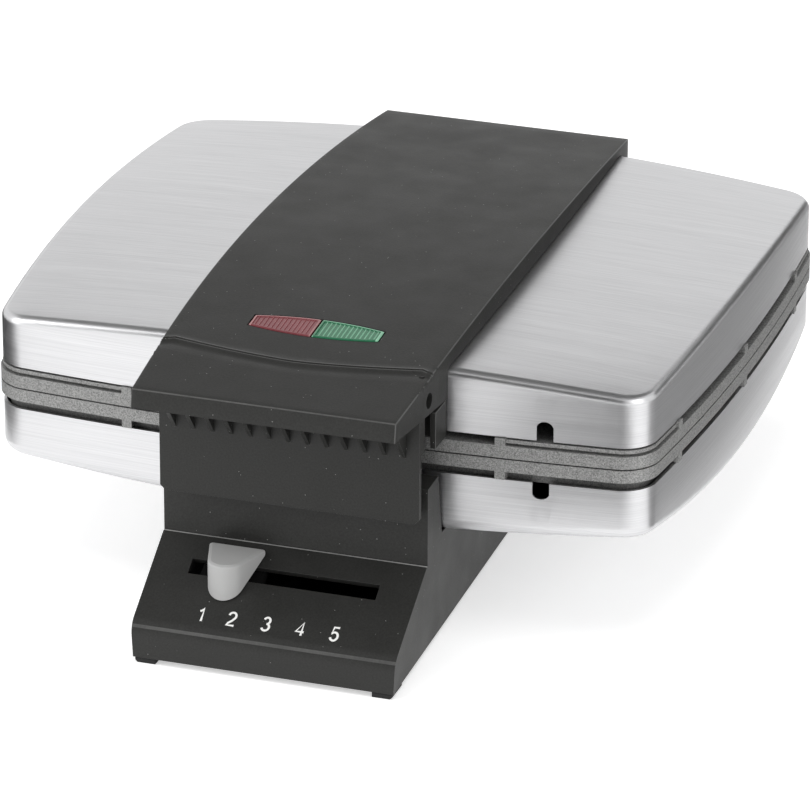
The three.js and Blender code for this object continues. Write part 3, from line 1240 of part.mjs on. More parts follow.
function hingeArm(side) {
  const x0 = side > 0 ? ARM_INNER_X : -ARM_OUTER_X;
  const x1 = x0 + ARM_WIDTH;
  const knuckle = axle(x0, x1, HINGE_Y, HINGE_Z, HINGE_RADIUS, FINE_SIDES);
  const rimBackY = SHELL_CENTRE_Y + SHELL_HALF_DEPTH + SEAT_GAP;
  const bar = block(x0, x1, rimBackY, armBackY, HINGE_Z, ARM_TOP_Z);
  const pad = block(x0, x1, armFrontY, armBackY, UPPER_COVER_EDGE, ARM_TOP_Z);
  const bore = axle(x0 - 1, x1 + 1, HINGE_Y, HINGE_Z, HINGE_BORE_RADIUS);
  return knuckle.add(bar).add(pad).subtract(bore);
}

addPiece('hinge_arm_left', hingeArm(-1), PIN_STEEL);
addPiece('hinge_arm_right', hingeArm(1), PIN_STEEL);
addPiece('hinge_pin', axle(-EAR_OUTER_X + 1, EAR_OUTER_X - 1, HINGE_Y, HINGE_Z, HINGE_PIN_RADIUS), PIN_STEEL);

export default appliance;
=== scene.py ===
# %% [markdown]
# # A waffle maker for two waffles
# The real thing is two steel pans hinged at the back, with cast waffle moulds inside,
# a black strap over the lid and a black pedestal with a sliding control.
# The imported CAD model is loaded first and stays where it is.
# Every visible piece is then built over it, with its edges, curves and finish,
# so that the moving parts still ride on the bodies of the CAD model.

# %% Load the frame
import json
import math

import bmesh
import bpy
from mathutils import Matrix, Vector


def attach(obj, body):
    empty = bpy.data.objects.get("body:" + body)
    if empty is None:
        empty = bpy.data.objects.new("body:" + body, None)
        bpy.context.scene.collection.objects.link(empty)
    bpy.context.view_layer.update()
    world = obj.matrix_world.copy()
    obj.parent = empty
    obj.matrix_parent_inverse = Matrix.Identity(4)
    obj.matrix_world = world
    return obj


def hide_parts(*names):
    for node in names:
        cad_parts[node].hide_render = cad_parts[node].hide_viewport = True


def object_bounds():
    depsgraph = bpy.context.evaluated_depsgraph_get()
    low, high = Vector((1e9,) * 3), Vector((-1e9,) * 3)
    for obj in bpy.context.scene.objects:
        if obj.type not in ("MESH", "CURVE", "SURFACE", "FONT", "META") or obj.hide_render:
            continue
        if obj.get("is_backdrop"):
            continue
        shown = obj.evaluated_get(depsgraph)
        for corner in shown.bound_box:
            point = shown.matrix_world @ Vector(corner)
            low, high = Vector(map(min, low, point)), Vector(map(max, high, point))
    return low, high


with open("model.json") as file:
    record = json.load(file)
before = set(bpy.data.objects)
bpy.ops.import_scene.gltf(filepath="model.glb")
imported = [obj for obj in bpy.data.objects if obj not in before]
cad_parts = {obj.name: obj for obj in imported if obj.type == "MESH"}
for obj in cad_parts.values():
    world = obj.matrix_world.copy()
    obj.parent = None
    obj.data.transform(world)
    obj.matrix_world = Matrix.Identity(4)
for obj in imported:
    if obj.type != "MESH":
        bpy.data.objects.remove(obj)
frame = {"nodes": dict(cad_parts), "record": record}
cad_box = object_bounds()
nodes = frame["nodes"]
MM = 0.001
TINY = 1e-6
print("nodes in the frame:", len(nodes))

# %% [markdown]
# ## The camera
# A camera far away with a long lens gives the flat perspective of a catalogue photograph.
# It stands in front of the appliance, to the right of it, and looks down on the lid.
# A short lens close by would frame it as well, but would make the near corner loom.

# %% Camera
CAMERA_LENS = 275.8
SENSOR_WIDTH = 36.0
CAMERA_SEES = (0.1, 20.0)
CAMERA_PLACE = (0.7424, -2.2224, 1.0736)
CAMERA_TURN = (66.452, -0.138, 18.400)

scene = bpy.context.scene
scene.view_settings.view_transform = "Standard"
camera_data = bpy.data.cameras.new("camera")
camera_data.lens = CAMERA_LENS
camera_data.sensor_width = SENSOR_WIDTH
camera_data.clip_start, camera_data.clip_end = CAMERA_SEES
camera = bpy.data.objects.new("camera", camera_data)
scene.collection.objects.link(camera)
camera.location = CAMERA_PLACE
camera.rotation_euler = [math.radians(angle) for angle in CAMERA_TURN]
scene.camera = camera
print("camera", round(camera.location.length, 2), "m away, with a lens of", CAMERA_LENS, "mm")

# %% [markdown]
# ## The studio
# The object stands in an empty white room. A white room that really shone at full
# strength would wash out the black plastic. So the world is white only where the camera,
# a mirror or a glass looks at it, and weaker where it lights the object.
# The Light Path node tells these rays apart.

# %% World
WORLD_LIGHT = 0.5


def any_of(tree, sockets):
    """One where at least one of the sockets is one."""
    result = sockets[0]
    for socket in sockets[1:]:
        node = tree.nodes.new("ShaderNodeMath")
        node.operation = "MAXIMUM"
        tree.links.new(result, node.inputs[0])
        tree.links.new(socket, node.inputs[1])
        result = node.outputs["Value"]
    return result


def seen_directly(tree):
    """One where the camera, a mirror or a glass looks, and nothing in between scatters."""
    path = tree.nodes.new("ShaderNodeLightPath")
    rays = ("Is Camera Ray", "Is Glossy Ray", "Is Transmission Ray")
    return any_of(tree, [path.outputs[name] for name in rays])


world = bpy.data.worlds.new("studio")
scene.world = world
world.use_nodes = True
background = world.node_tree.nodes["Background"]
background.inputs["Color"].default_value = (1.0, 1.0, 1.0, 1.0)
strength = world.node_tree.nodes.new("ShaderNodeMapRange")
strength.inputs["To Min"].default_value = WORLD_LIGHT
strength.inputs["To Max"].default_value = 1.0
world.node_tree.links.new(seen_directly(world.node_tree), strength.inputs["Value"])
world.node_tree.links.new(strength.outputs["Result"], background.inputs["Strength"])
print("world is white to the eye, and lights with a strength of", WORLD_LIGHT)

# %% [markdown]
# ## The floor
# A sheet of paper under the object would be grey in the picture, because it is lit
# from one side only. A little glow, again only where it is looked at, lifts it to white.
# The shader underneath still takes the object's shadow, so that the feet seem to stand.

# %% Floor
FLOOR_GLOW = 0.5
FLOOR_TONE = 0.9
FLOOR_REACH = 6.0


def floor_material():
    """White where the camera sees it, with the shadow of the object kept."""
    material = bpy.data.materials.new("floor_white")
    material.use_nodes = True
    tree = material.node_tree
    shader = tree.nodes["Principled BSDF"]
    shader.inputs["Base Color"].default_value = (FLOOR_TONE, FLOOR_TONE, FLOOR_TONE, 1.0)
    shader.inputs["Roughness"].default_value = 0.9
    shader.inputs["Specular IOR Level"].default_value = 0.1
    glow = tree.nodes.new("ShaderNodeEmission")
    glow.inputs["Strength"].default_value = FLOOR_GLOW
    both = tree.nodes.new("ShaderNodeAddShader")
    choose = tree.nodes.new("ShaderNodeMixShader")
    tree.links.new(seen_directly(tree), choose.inputs["Fac"])
    tree.links.new(shader.outputs["BSDF"], both.inputs[0])
    tree.links.new(glow.outputs["Emission"], both.inputs[1])
    tree.links.new(shader.outputs["BSDF"], choose.inputs[1])
    tree.links.new(both.outputs["Shader"], choose.inputs[2])
    tree.links.new(choose.outputs["Shader"], tree.nodes["Material Output"].inputs["Surface"])
    return material


floor_mesh = bpy.data.meshes.new("floor")
bm = bmesh.new()
bmesh.ops.create_grid(bm, x_segments=1, y_segments=1, size=FLOOR_REACH)
bm.to_mesh(floor_mesh)
bm.free()
floor = bpy.data.objects.new("floor", floor_mesh)
scene.collection.objects.link(floor)
floor.data.materials.append(floor_material())
floor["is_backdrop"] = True
print("floor", 2 * FLOOR_REACH, "m wide")

# %% [markdown]
# ## The lamps
# Three large soft lamps stand where a product photographer would put them: one over
# the front of the object, one to the left and a weaker one to the right.
# The larger a lamp is, the softer its shadow. The lamp overhead is hidden from
# reflections, because in brushed steel it would burn a white patch into the lid.

# %% Lamps
# Each lamp: place, the spot it points at, width and height, power in watts
LAMPS = {
    "lamp_over": ((-0.1, -0.5, 1.8), (0.0, -0.05, 0.1), (1.6, 1.1), 13.0),
    "lamp_left": ((-1.6, -1.2, 0.9), (0.0, 0.0, 0.07), (1.0, 1.4), 13.0),
    "lamp_right": ((1.5, -0.8, 0.8), (0.0, 0.0, 0.07), (0.7, 1.2), 6.0),
}


def soft_lamp(name, place, aim, size, power):
    """A rectangular area lamp that points at a spot on the object."""
    data = bpy.data.lights.new(name, "AREA")
    data.shape = "RECTANGLE"
    data.size = size[0]
    data.size_y = size[1]
    data.energy = power
    lamp = bpy.data.objects.new(name, data)
    scene.collection.objects.link(lamp)
    lamp.location = place
    direction = Vector(aim) - Vector(place)
    lamp.rotation_euler = direction.to_track_quat("-Z", "Y").to_euler()
    return lamp


lamps = {name: soft_lamp(name, *values) for name, values in LAMPS.items()}
lamps["lamp_over"].visible_glossy = False
print("lamps:", ", ".join(f"{name} {lamp.data.energy} W" for name, lamp in lamps.items()))

# %% [markdown]
# ## Dark cards for the metal
# Brushed steel shows what stands around it. In an all-white studio it would look like paper.
# Photographers lay black cards beside the metal, which show in it as soft dark bands,
# while the gaps between the cards show as bright ones. Only reflections see these cards.
# They could be painted into the steel instead, but then they would stay put on it
# when the lid opens or the view turns.

# %% Cards
CARD_LIFT = 0.003
CARD_OVERHEAD = 1.3
# Each level card: near left corner, far right corner, height, tone
LEVEL_CARDS = {
    "card_front_right": ((0.04, -0.75), (0.30, -0.215), CARD_LIFT, 0.18),
    "card_right": ((0.18, -0.055), (0.75, 1.2), CARD_LIFT, 0.36),
    "card_left": ((-0.9, -0.26), (-0.25, 0.9), CARD_LIFT, 0.04),
    "card_over": ((-1.1, -0.8), (1.1, 1.2), CARD_OVERHEAD, 0.25),
}
# Each upright card: left, right, depth, lower edge, upper edge, tone
UPRIGHT_CARDS = {
    "card_behind_camera": (-2.6, 1.6, -3.2, 0.5, 3.4, 0.12),
    "card_back_right": (0.3, 2.2, 1.5, 0.05, 1.1, 0.12),
}


def card_material(tone):
    """Plain grey card without any shine."""
    material = bpy.data.materials.new("card")
    material.use_nodes = True
    shader = material.node_tree.nodes["Principled BSDF"]
    shader.inputs["Base Color"].default_value = (tone, tone, tone, 1.0)
    shader.inputs["Roughness"].default_value = 1.0
    shader.inputs["Specular IOR Level"].default_value = 0.0
    return material


def flat_corners(low, high, height):
    """Corners of a level card at a height over the floor."""
    plan = ((low[0], low[1]), (high[0], low[1]), (high[0], high[1]), (low[0], high[1]))
    return [(x, y, height) for x, y in plan]


def upright_corners(left, right, y, low, high):
    """Corners of a card that stands across the view, at a depth y."""
    return [(left, y, low), (right, y, low), (right, y, high), (left, y, high)]


def dark_card(name, corners, tone):
    """A flat card that shows in reflections and nowhere else."""
    bm = bmesh.new()
    bm.faces.new([bm.verts.new(corner) for corner in corners])
    mesh = bpy.data.meshes.new(name)
    bm.to_mesh(mesh)
    bm.free()
    card = bpy.data.objects.new(name, mesh)
    scene.collection.objects.link(card)
    mesh.materials.append(card_material(tone))
    card.visible_camera = False
    card.visible_diffuse = False
    card.visible_transmission = False
    card.visible_shadow = False
    card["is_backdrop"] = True


for name, (near, far, height, tone) in LEVEL_CARDS.items():
    dark_card(name, flat_corners(near, far, height), tone)
for name, (*edges, tone) in UPRIGHT_CARDS.items():
    dark_card(name, upright_corners(*edges), tone)
print("cards:", len(LEVEL_CARDS), "level and", len(UPRIGHT_CARDS), "upright")

# %% [markdown]
# ## Grain as a node group
# Moulded plastic and cast metal are never quite flat: they carry a fine grain over a
# coarser unevenness. Two sizes of noise make both. They sit in a node group with named
# inputs, so that each material can use them at its own scale. A photograph of a surface
# could do the same, but it would repeat, and would need a map laid over the mesh.

# %% Grain group


def new_group(name, inputs, outputs):
    """An empty node group with named sockets, its input node and its output node."""
    group = bpy.data.node_groups.new(name, "ShaderNodeTree")
    for label, kind, value in inputs:
        socket = group.interface.new_socket(name=label, in_out="INPUT", socket_type=kind)
        if value is not None:
            socket.default_value = value
    for label, kind in outputs:
        group.interface.new_socket(name=label, in_out="OUTPUT", socket_type=kind)
    entry = group.nodes.new("NodeGroupInput")
    result = group.nodes.new("NodeGroupOutput")
    return group, entry, result


def grain_group():
    """Fine moulded or cast grain: a height from two sizes of noise."""
    group, entry, result = new_group(
        "surface_grain",
        [("Vector", "NodeSocketVector", None), ("Fine Scale", "NodeSocketFloat", 900.0),
         ("Coarse Scale", "NodeSocketFloat", 120.0), ("Coarse Share", "NodeSocketFloat", 0.3)],
        [("Height", "NodeSocketFloat"), ("Coarse", "NodeSocketFloat")],
    )
    fine = group.nodes.new("ShaderNodeTexNoise")
    fine.inputs["Detail"].default_value = 3.0
    coarse = group.nodes.new("ShaderNodeTexNoise")
    coarse.inputs["Detail"].default_value = 2.0
    mix = group.nodes.new("ShaderNodeMix")
    group.links.new(entry.outputs["Vector"], fine.inputs["Vector"])
    group.links.new(entry.outputs["Vector"], coarse.inputs["Vector"])
    group.links.new(entry.outputs["Fine Scale"], fine.inputs["Scale"])
    group.links.new(entry.outputs["Coarse Scale"], coarse.inputs["Scale"])
    group.links.new(entry.outputs["Coarse Share"], mix.inputs["Factor"])
    group.links.new(fine.outputs["Fac"], mix.inputs["A"])
    group.links.new(coarse.outputs["Fac"], mix.inputs["B"])
    group.links.new(mix.outputs["Result"], result.inputs["Height"])
    group.links.new(coarse.outputs["Fac"], result.inputs["Coarse"])
    return group


GRAIN = grain_group()
print("group", GRAIN.name, "gives a height and the coarse part of it")

# %% [markdown]
# ## Dust as a node group
# A black appliance shows every speck of dust. A Voronoi pattern scatters points
# that never touch, and only a share of its cells gets a round pale spot.
# Plain noise with a threshold gives ragged islands of all sizes instead.

# %% Dust group


def speck_group():
    """Sparse pale dust: small round spots in some of the cells of a Voronoi pattern."""
    group, entry, result = new_group(
        "dust_specks",
        [("Vector", "NodeSocketVector", None), ("Scale", "NodeSocketFloat", 160.0),
         ("Size", "NodeSocketFloat", 0.05), ("Share", "NodeSocketFloat", 0.15)],
        [("Mask", "NodeSocketFloat")],
    )
    cells = group.nodes.new("ShaderNodeTexVoronoi")
    group.links.new(entry.outputs["Vector"], cells.inputs["Vector"])
    group.links.new(entry.outputs["Scale"], cells.inputs["Scale"])
    near = group.nodes.new("ShaderNodeMath")
    near.operation = "LESS_THAN"
    group.links.new(cells.outputs["Distance"], near.inputs[0])
    group.links.new(entry.outputs["Size"], near.inputs[1])
    pick = group.nodes.new("ShaderNodeSeparateColor")
    group.links.new(cells.outputs["Color"], pick.inputs["Color"])
    chosen = group.nodes.new("ShaderNodeMath")
    chosen.operation = "LESS_THAN"
    group.links.new(pick.outputs["Red"], chosen.inputs[0])
    group.links.new(entry.outputs["Share"], chosen.inputs[1])
    both = group.nodes.new("ShaderNodeMath")
    both.operation = "MULTIPLY"
    group.links.new(near.outputs["Value"], both.inputs[0])
    group.links.new(chosen.outputs["Value"], both.inputs[1])
    group.links.new(both.outputs["Value"], result.inputs["Mask"])
    return group


SPECKS = speck_group()
print("group", SPECKS.name, "gives one mask")

# %% [markdown]
# ## Brush marks as a node group
# Brushing draws fine parallel scratches into steel, and broad soft bands of them.
# Both are noise. The material that uses the group squeezes the coordinates along
# one direction, and that draws the noise out into lines along the other.

# %% Brush group


def brush_group():
    """Brush marks: noise drawn out along one direction, in two widths."""
    group, entry, result = new_group(
        "brush_marks",
        [("Vector", "NodeSocketVector", None), ("Fine Scale", "NodeSocketFloat", 1.0)],
        [("Marks", "NodeSocketFloat"), ("Bands", "NodeSocketFloat")],
    )
    fine = group.nodes.new("ShaderNodeTexNoise")
    fine.inputs["Detail"].default_value = 4.0
    fine.inputs["Roughness"].default_value = 0.7
    bands = group.nodes.new("ShaderNodeTexNoise")
    bands.inputs["Detail"].default_value = 2.0
    bands.inputs["Scale"].default_value = 0.12
    group.links.new(entry.outputs["Vector"], fine.inputs["Vector"])
    group.links.new(entry.outputs["Vector"], bands.inputs["Vector"])
    group.links.new(entry.outputs["Fine Scale"], fine.inputs["Scale"])
    group.links.new(fine.outputs["Fac"], result.inputs["Marks"])
    group.links.new(bands.outputs["Fac"], result.inputs["Bands"])
    return group


BRUSH = brush_group()
print("group", BRUSH.name, "gives marks and bands")

# %% [markdown]
# ## One way to write every finish
# Each finish starts from a Principled shader, which covers plastic, metal and glass.
# Its textures use object coordinates, so the grain stays on a part that turns or slides.
# The class only shortens the writing: one call adds a node and joins it up.

# %% Finish


class Finish:
    """A material with its Principled shader, and short ways to add nodes to it."""

    def __init__(self, name, color, roughness, metallic=0.0):
        self.material = bpy.data.materials.new(name)
        self.material.use_nodes = True
        self.nodes = self.material.node_tree.nodes
        self.links = self.material.node_tree.links
        self.shader = self.nodes["Principled BSDF"]
        self.shader.inputs["Base Color"].default_value = (*color, 1.0)
        self.shader.inputs["Roughness"].default_value = roughness
        self.shader.inputs["Metallic"].default_value = metallic
        self.place = self.nodes.new("ShaderNodeTexCoord").outputs["Object"]

    def mapped(self, scale):
        """Object coordinates, stretched."""
        node = self.nodes.new("ShaderNodeMapping")
        node.inputs["Scale"].default_value = scale
        self.links.new(self.place, node.inputs["Vector"])
        return node.outputs["Vector"]

    def group(self, tree, vector=None, **values):
        """A node group, with an underscore for each space in the names of its inputs."""
        node = self.nodes.new("ShaderNodeGroup")
        node.node_tree = tree
        self.links.new(vector if vector is not None else self.place, node.inputs["Vector"])
        for key, value in values.items():
            node.inputs[key.replace("_", " ")].default_value = value
        return node

    def blend(self, factor, first, second):
        """A mix of two colours, each given as a tuple or as a socket."""
        node = self.nodes.new("ShaderNodeMix")
        node.data_type = "RGBA"
        self.links.new(factor, node.inputs["Factor"])
        for socket, value in ((node.inputs["A"], first), (node.inputs["B"], second)):
            if isinstance(value, tuple):
                socket.default_value = (*value, 1.0)
            else:
                self.links.new(value, socket)
        return node.outputs["Result"]

    def remap(self, value, low, high, from_low=0.0, from_high=1.0):
        """A value moved from one range to another."""
        node = self.nodes.new("ShaderNodeMapRange")
        node.inputs["From Min"].default_value = from_low
        node.inputs["From Max"].default_value = from_high
        node.inputs["To Min"].default_value = low
        node.inputs["To Max"].default_value = high
        self.links.new(value, node.inputs["Value"])
        return node.outputs["Result"]

    def bump(self, height, distance, strength):
        """A height in metres that tilts the light."""
        node = self.nodes.new("ShaderNodeBump")
        node.inputs["Distance"].default_value = distance
        node.inputs["Strength"].default_value = strength
        self.links.new(height, node.inputs["Height"])
        self.links.new(node.outputs["Normal"], self.shader.inputs["Normal"])

    def set(self, socket, value):
        """Joins a value to an input of the shader."""
        self.links.new(value, self.shader.inputs[socket])


# %% [markdown]
# ## Black plastic
# The strap, the guard and the pedestal are moulded in black plastic with a satin face.
# Black is never quite black: the grain lightens it a little, and dust lies on it.
# Edges get a finish of their own: the same plastic, smoother and paler. The paleness
# is a painted highlight, where the edges would catch the light.

# %% Black plastic


def black_plastic():
    finish = Finish("black_plastic", (0.024, 0.024, 0.023), 0.5)
    grain = finish.group(GRAIN, Fine_Scale=1300.0, Coarse_Scale=60.0, Coarse_Share=0.25)
    dust = finish.group(SPECKS, Scale=330.0, Size=0.06, Share=0.42)
    tone = finish.blend(grain.outputs["Height"], (0.008, 0.008, 0.007), (0.037, 0.037, 0.035))
    finish.set("Base Color", finish.blend(dust.outputs["Mask"], tone, (0.30, 0.30, 0.29)))
    finish.set("Roughness", finish.remap(grain.outputs["Coarse"], 0.42, 0.62))
    finish.bump(grain.outputs["Height"], 0.00012, 0.6)
    finish.shader.inputs["Specular IOR Level"].default_value = 0.36
    return finish.material


def black_edge_highlight():
    """The same plastic, smoother and a little paler: a painted highlight for edges."""
    finish = Finish("black_plastic_edge_highlight", (0.10, 0.10, 0.098), 0.38)
    grain = finish.group(GRAIN, Fine_Scale=900.0, Coarse_Scale=45.0, Coarse_Share=0.6)
    tone = finish.blend(grain.outputs["Height"], (0.025, 0.025, 0.025), (0.14, 0.14, 0.135))
    finish.set("Base Color", tone)
    finish.set("Roughness", finish.remap(grain.outputs["Coarse"], 0.3, 0.5))
    return finish.material


BLACK = black_plastic()
BLACK_EDGE_HIGHLIGHT = black_edge_highlight()
print("made", BLACK.name, "and", BLACK_EDGE_HIGHLIGHT.name)

# %% [markdown]
# ## Brushed steel
# The covers are steel sheet, brushed from side to side. The front wall needs lines that
# run along X and are fine in Z. The top needs them fine in Y. So there are two materials
# from one recipe. Anisotropic shading could add a streak of light, but at this size
# the marks in colour, roughness and bump already give it.

# %% Brushed steel


def brushed_steel(name, stretch):
    """stretch is the scale of the noise along X, Y and Z: low along the brushing."""
    finish = Finish(name, (0.60, 0.60, 0.61), 0.34, 1.0)
    marks = finish.group(BRUSH, finish.mapped(stretch), Fine_Scale=1.0)
    tone = finish.blend(marks.outputs["Marks"], (0.47, 0.47, 0.48), (0.80, 0.80, 0.81))
    finish.set("Base Color", tone)
    finish.set("Roughness", finish.remap(marks.outputs["Bands"], 0.26, 0.38))
    finish.bump(marks.outputs["Marks"], 0.00005, 0.7)
    return finish.material


STEEL_ALONG_X = brushed_steel("brushed_steel_front", (14.0, 14.0, 2600.0))
STEEL_TOP = brushed_steel("brushed_steel_top", (30.0, 2200.0, 30.0))
print("made", STEEL_ALONG_X.name, "and", STEEL_TOP.name)

# %% [markdown]
# ## Cast aluminium
# The waffle plates are raw castings: grey, matt and coarse, with dark pores.
# The noise is remapped before it mixes the two tones, which sharpens the pores.
# A darker copy, painted shade, goes on the groove over the upper rim and on the step
# under the lower rim, so the recipe takes its tones as values and is used twice.

# %% Cast aluminium


def cast_aluminium(name, dark, light):
    finish = Finish(name, light, 0.6, 0.75)
    grain = finish.group(GRAIN, Fine_Scale=3200.0, Coarse_Scale=1500.0, Coarse_Share=0.45)
    tone = finish.remap(grain.outputs["Height"], 0.0, 1.0, 0.36, 0.64)
    finish.set("Base Color", finish.blend(tone, dark, light))
    finish.set("Roughness", finish.remap(grain.outputs["Coarse"], 0.5, 0.75))
    finish.bump(grain.outputs["Height"], 0.00015, 0.6)
    return finish.material


CAST = cast_aluminium("cast_aluminium", (0.15, 0.15, 0.15), (0.50, 0.50, 0.49))
# Darker cast finish: painted shade for the groove and the step in the rims.
CAST_SHADED = cast_aluminium("cast_aluminium_painted_shade", (0.07, 0.07, 0.07), (0.22, 0.22, 0.215))
print("made", CAST.name, "and", CAST_SHADED.name)

# %% [markdown]
# ## The plain finishes
# Everything else needs one colour that varies a little, one roughness that does the same,
# and a very shallow grain. One recipe with a spread serves the knob, the lenses,
# the feet, the ink and all that lies inside. Without the spread each would look painted.

# %% Plain finishes
PLAIN_GRAIN = 600.0
ROUGHNESS_SPREAD = 0.06


def plain_finish(name, color, roughness, metallic=0.0, spread=0.12, shine=0.5):
    """One colour, darker and lighter by a share called spread."""
    finish = Finish(name, color, roughness, metallic)
    finish.shader.inputs["Specular IOR Level"].default_value = shine
    grain = finish.group(GRAIN, Fine_Scale=PLAIN_GRAIN, Coarse_Scale=PLAIN_GRAIN / 8, Coarse_Share=0.3)
    dark = tuple(c * (1.0 - spread) for c in color)
    light = tuple(min(1.0, c * (1.0 + spread)) for c in color)
    finish.set("Base Color", finish.blend(grain.outputs["Coarse"], dark, light))
    low, high = roughness - ROUGHNESS_SPREAD, roughness + ROUGHNESS_SPREAD
    finish.set("Roughness", finish.remap(grain.outputs["Coarse"], low, high))
    finish.bump(grain.outputs["Height"], 0.00004, 0.5)
    return finish.material


GREY = plain_finish("grey_plastic", (0.52, 0.52, 0.515), 0.42, spread=0.06)
# Pale finish for the step at the ridge: a painted highlight.
RIDGE_HIGHLIGHT = plain_finish("black_plastic_ridge_highlight", (0.5, 0.5, 0.49), 0.4, spread=0.5)
INNER_BLACK = plain_finish("inner_black", (0.006, 0.006, 0.006), 0.8, shine=0.08)
BRIGHT = plain_finish("bright_steel", (0.55, 0.56, 0.57), 0.28, 1.0)
HEATER = plain_finish("heater_sheath", (0.13, 0.135, 0.14), 0.5, 0.9, spread=0.35)
BOARD = plain_finish("circuit_board", (0.43, 0.25, 0.08), 0.6)
CERAMIC = plain_finish("ceramic", (0.76, 0.72, 0.62), 0.75)
RUBBER = plain_finish("rubber", (0.02, 0.02, 0.02), 0.85)
WHITE_INK = plain_finish("white_ink", (0.92, 0.92, 0.90), 0.5, spread=0.05)
RED = plain_finish("red_lens", (0.19, 0.045, 0.052), 0.2, spread=0.2)
GREEN = plain_finish("green_lens", (0.022, 0.15, 0.072), 0.2, spread=0.2)
# Lighter lens finishes for the frame, and a painted highlight on one flank of each rib.
RED_LENS_FRAME_AND_HIGHLIGHT = plain_finish("red_lens_frame_and_highlight", (0.40, 0.20, 0.20), 0.25, spread=0.3)
GREEN_LENS_FRAME_AND_HIGHLIGHT = plain_finish("green_lens_frame_and_highlight", (0.24, 0.50, 0.34), 0.25, spread=0.3)
print("materials so far:", len(bpy.data.materials))

# %% [markdown]
# ## Finishes on the CAD pieces
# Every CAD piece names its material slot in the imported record, so a table from slot
# to finish dresses them all. The lever, its carriage and the pins lie in shadow behind
# openings. They are painted dark, so that no bright edge shows through a gap.

# %% Dressing the CAD pieces
slot_material = {
    "black_plastic": BLACK, "grey_plastic": GREY, "brushed_steel": STEEL_ALONG_X,
    "cast_aluminium": CAST, "bright_steel": BRIGHT, "heater_sheath": HEATER,
    "red_lens": RED, "green_lens": GREEN, "circuit_board": BOARD,
    "ceramic": CERAMIC, "rubber": RUBBER,
}
for entry in frame["record"]["subparts"]:
    mesh = nodes[entry["node"]].data
    mesh.materials.clear()
    mesh.materials.append(slot_material[entry["material_slot"]])
in_shadow = ("slider_carriage", "thermostat_lever", "guard_pin_left", "guard_pin_right")
for name in in_shadow:
    nodes[name].data.materials.clear()
    nodes[name].data.materials.append(INNER_BLACK)

# %% [markdown]
# ## The outline of the two cooking halves
# Seen from above, both halves are a rectangle with bowed sides and round corners,
# and their steel rises to a shallow dome. A few parabolas describe both: one for each
# bowed side, and three for the dome. Every mesh of the halves is bent with the same
# functions, so that covers, rims and notches stay in line with each other.

# %% Sizes of the cooking halves
HALF_X = 145.0 * MM
HALF_Y = 124.25 * MM
CENTRE_Y = 21.25 * MM
CORNER = 13.0 * MM
END_BOW = 5.6 * MM
END_WIDEST = 24.5 * MM
FRONT_BOW = 7.4 * MM
BACK_BOW = 4.0 * MM
PARTING = 82.0 * MM
RIM = 5.3 * MM
LOWER_RIM_BOTTOM = 76.4 * MM
COVER_INSET = 1.0 * MM
COVER_WALL = 1.2 * MM
COVER_ROUND = {1: 3.4 * MM, -1: 5.0 * MM}
COVER_EDGE = {1: 90.9 * MM, -1: 72.7 * MM}
APEX = {1: 120.0 * MM, -1: 40.5 * MM}
# How far the dome falls, in millimetres: to an end, to the front, and the extra at a corner
CROWN_FALL = {1: (3.3, 1.6, 5.4), -1: (2.0, 6.0, 6.5)}
SEAT_GAP = 0.3 * MM


def share(value, reach):
    """How far out a value lies, squared: 0 at the middle and 1 at the reach."""
    return (value / reach) ** 2


def bowed(x, y, half_x, half_y):
    """A point of a straight-sided slab, moved to the bowed outline. y is from the centre."""
    edge_bow = FRONT_BOW if y < 0 else BACK_BOW
    new_x = x * (1 - END_BOW * share(y - END_WIDEST, HALF_Y) / half_x)
    new_y = y * (1 - edge_bow * share(x, HALF_X) / half_y)
    return new_x, new_y


def crown(side, x, y):
    """Height of the upper dome, or depth of the lower one. y is from the centre."""
    a = share(x, HALF_X)
    b = share(y, HALF_Y)
    at_end, at_front, at_corner = CROWN_FALL[side]
    return APEX[side] - side * (at_end * a + at_front * b + at_corner * a * b) * MM


print("halves are", 2 * HALF_X / MM, "mm wide and", 2 * HALF_Y / MM, "mm deep")

# %% [markdown]
# ## A slab with round corners
# Covers, rims and ledges all start as the same slab, a box with rounded upright edges.
# Its straight sides are cut into short stretches later, so that they can bow.
# An outline drawn point by point would give the corners too, but the box comes closed.

# %% Rounded slab


def block(bm, low, high):
    """A closed box between two corners."""
    made = bmesh.ops.create_cube(bm, size=1.0)
    size = [h - l for l, h in zip(low, high)]
    middle = [(h + l) / 2 for l, h in zip(low, high)]
    bmesh.ops.scale(bm, vec=size, verts=made["verts"])
    bmesh.ops.translate(bm, vec=middle, verts=made["verts"])
    return made["verts"]


def soften(bm, edges, width, segments=2):
    """Rounds chosen edges."""
    return bmesh.ops.bevel(
        bm, geom=edges, offset=width, offset_type="OFFSET", segments=segments,
        profile=0.5, affect="EDGES", clamp_overlap=True, material=-1,
    )


def rounded_slab(bm, half_x, half_y, low, high, corner, corner_steps=10):
    """A box from low to high with round upright corners, around X = Y = 0."""
    verts = block(bm, (-half_x, -half_y, low), (half_x, half_y, high))
    own = {e for v in verts for e in v.link_edges}
    upright = [e for e in own if abs(e.verts[0].co.z - e.verts[1].co.z) > (high - low) / 2]
    soften(bm, upright, corner, corner_steps)


# %% [markdown]
# ## Cutting
# Most pieces here start as a box or a grid and are cut into smaller faces, which can then
# be bent, sunk or deleted. Cutting with a plane only where it is needed keeps the mesh light.
# A boolean could cut as well, but it leaves long thin faces that shade badly when bent.

# %% Cutting helpers


def faces_where(bm, test):
    """Faces whose centre passes a test."""
    return [f for f in bm.faces if test(f.calc_center_median())]


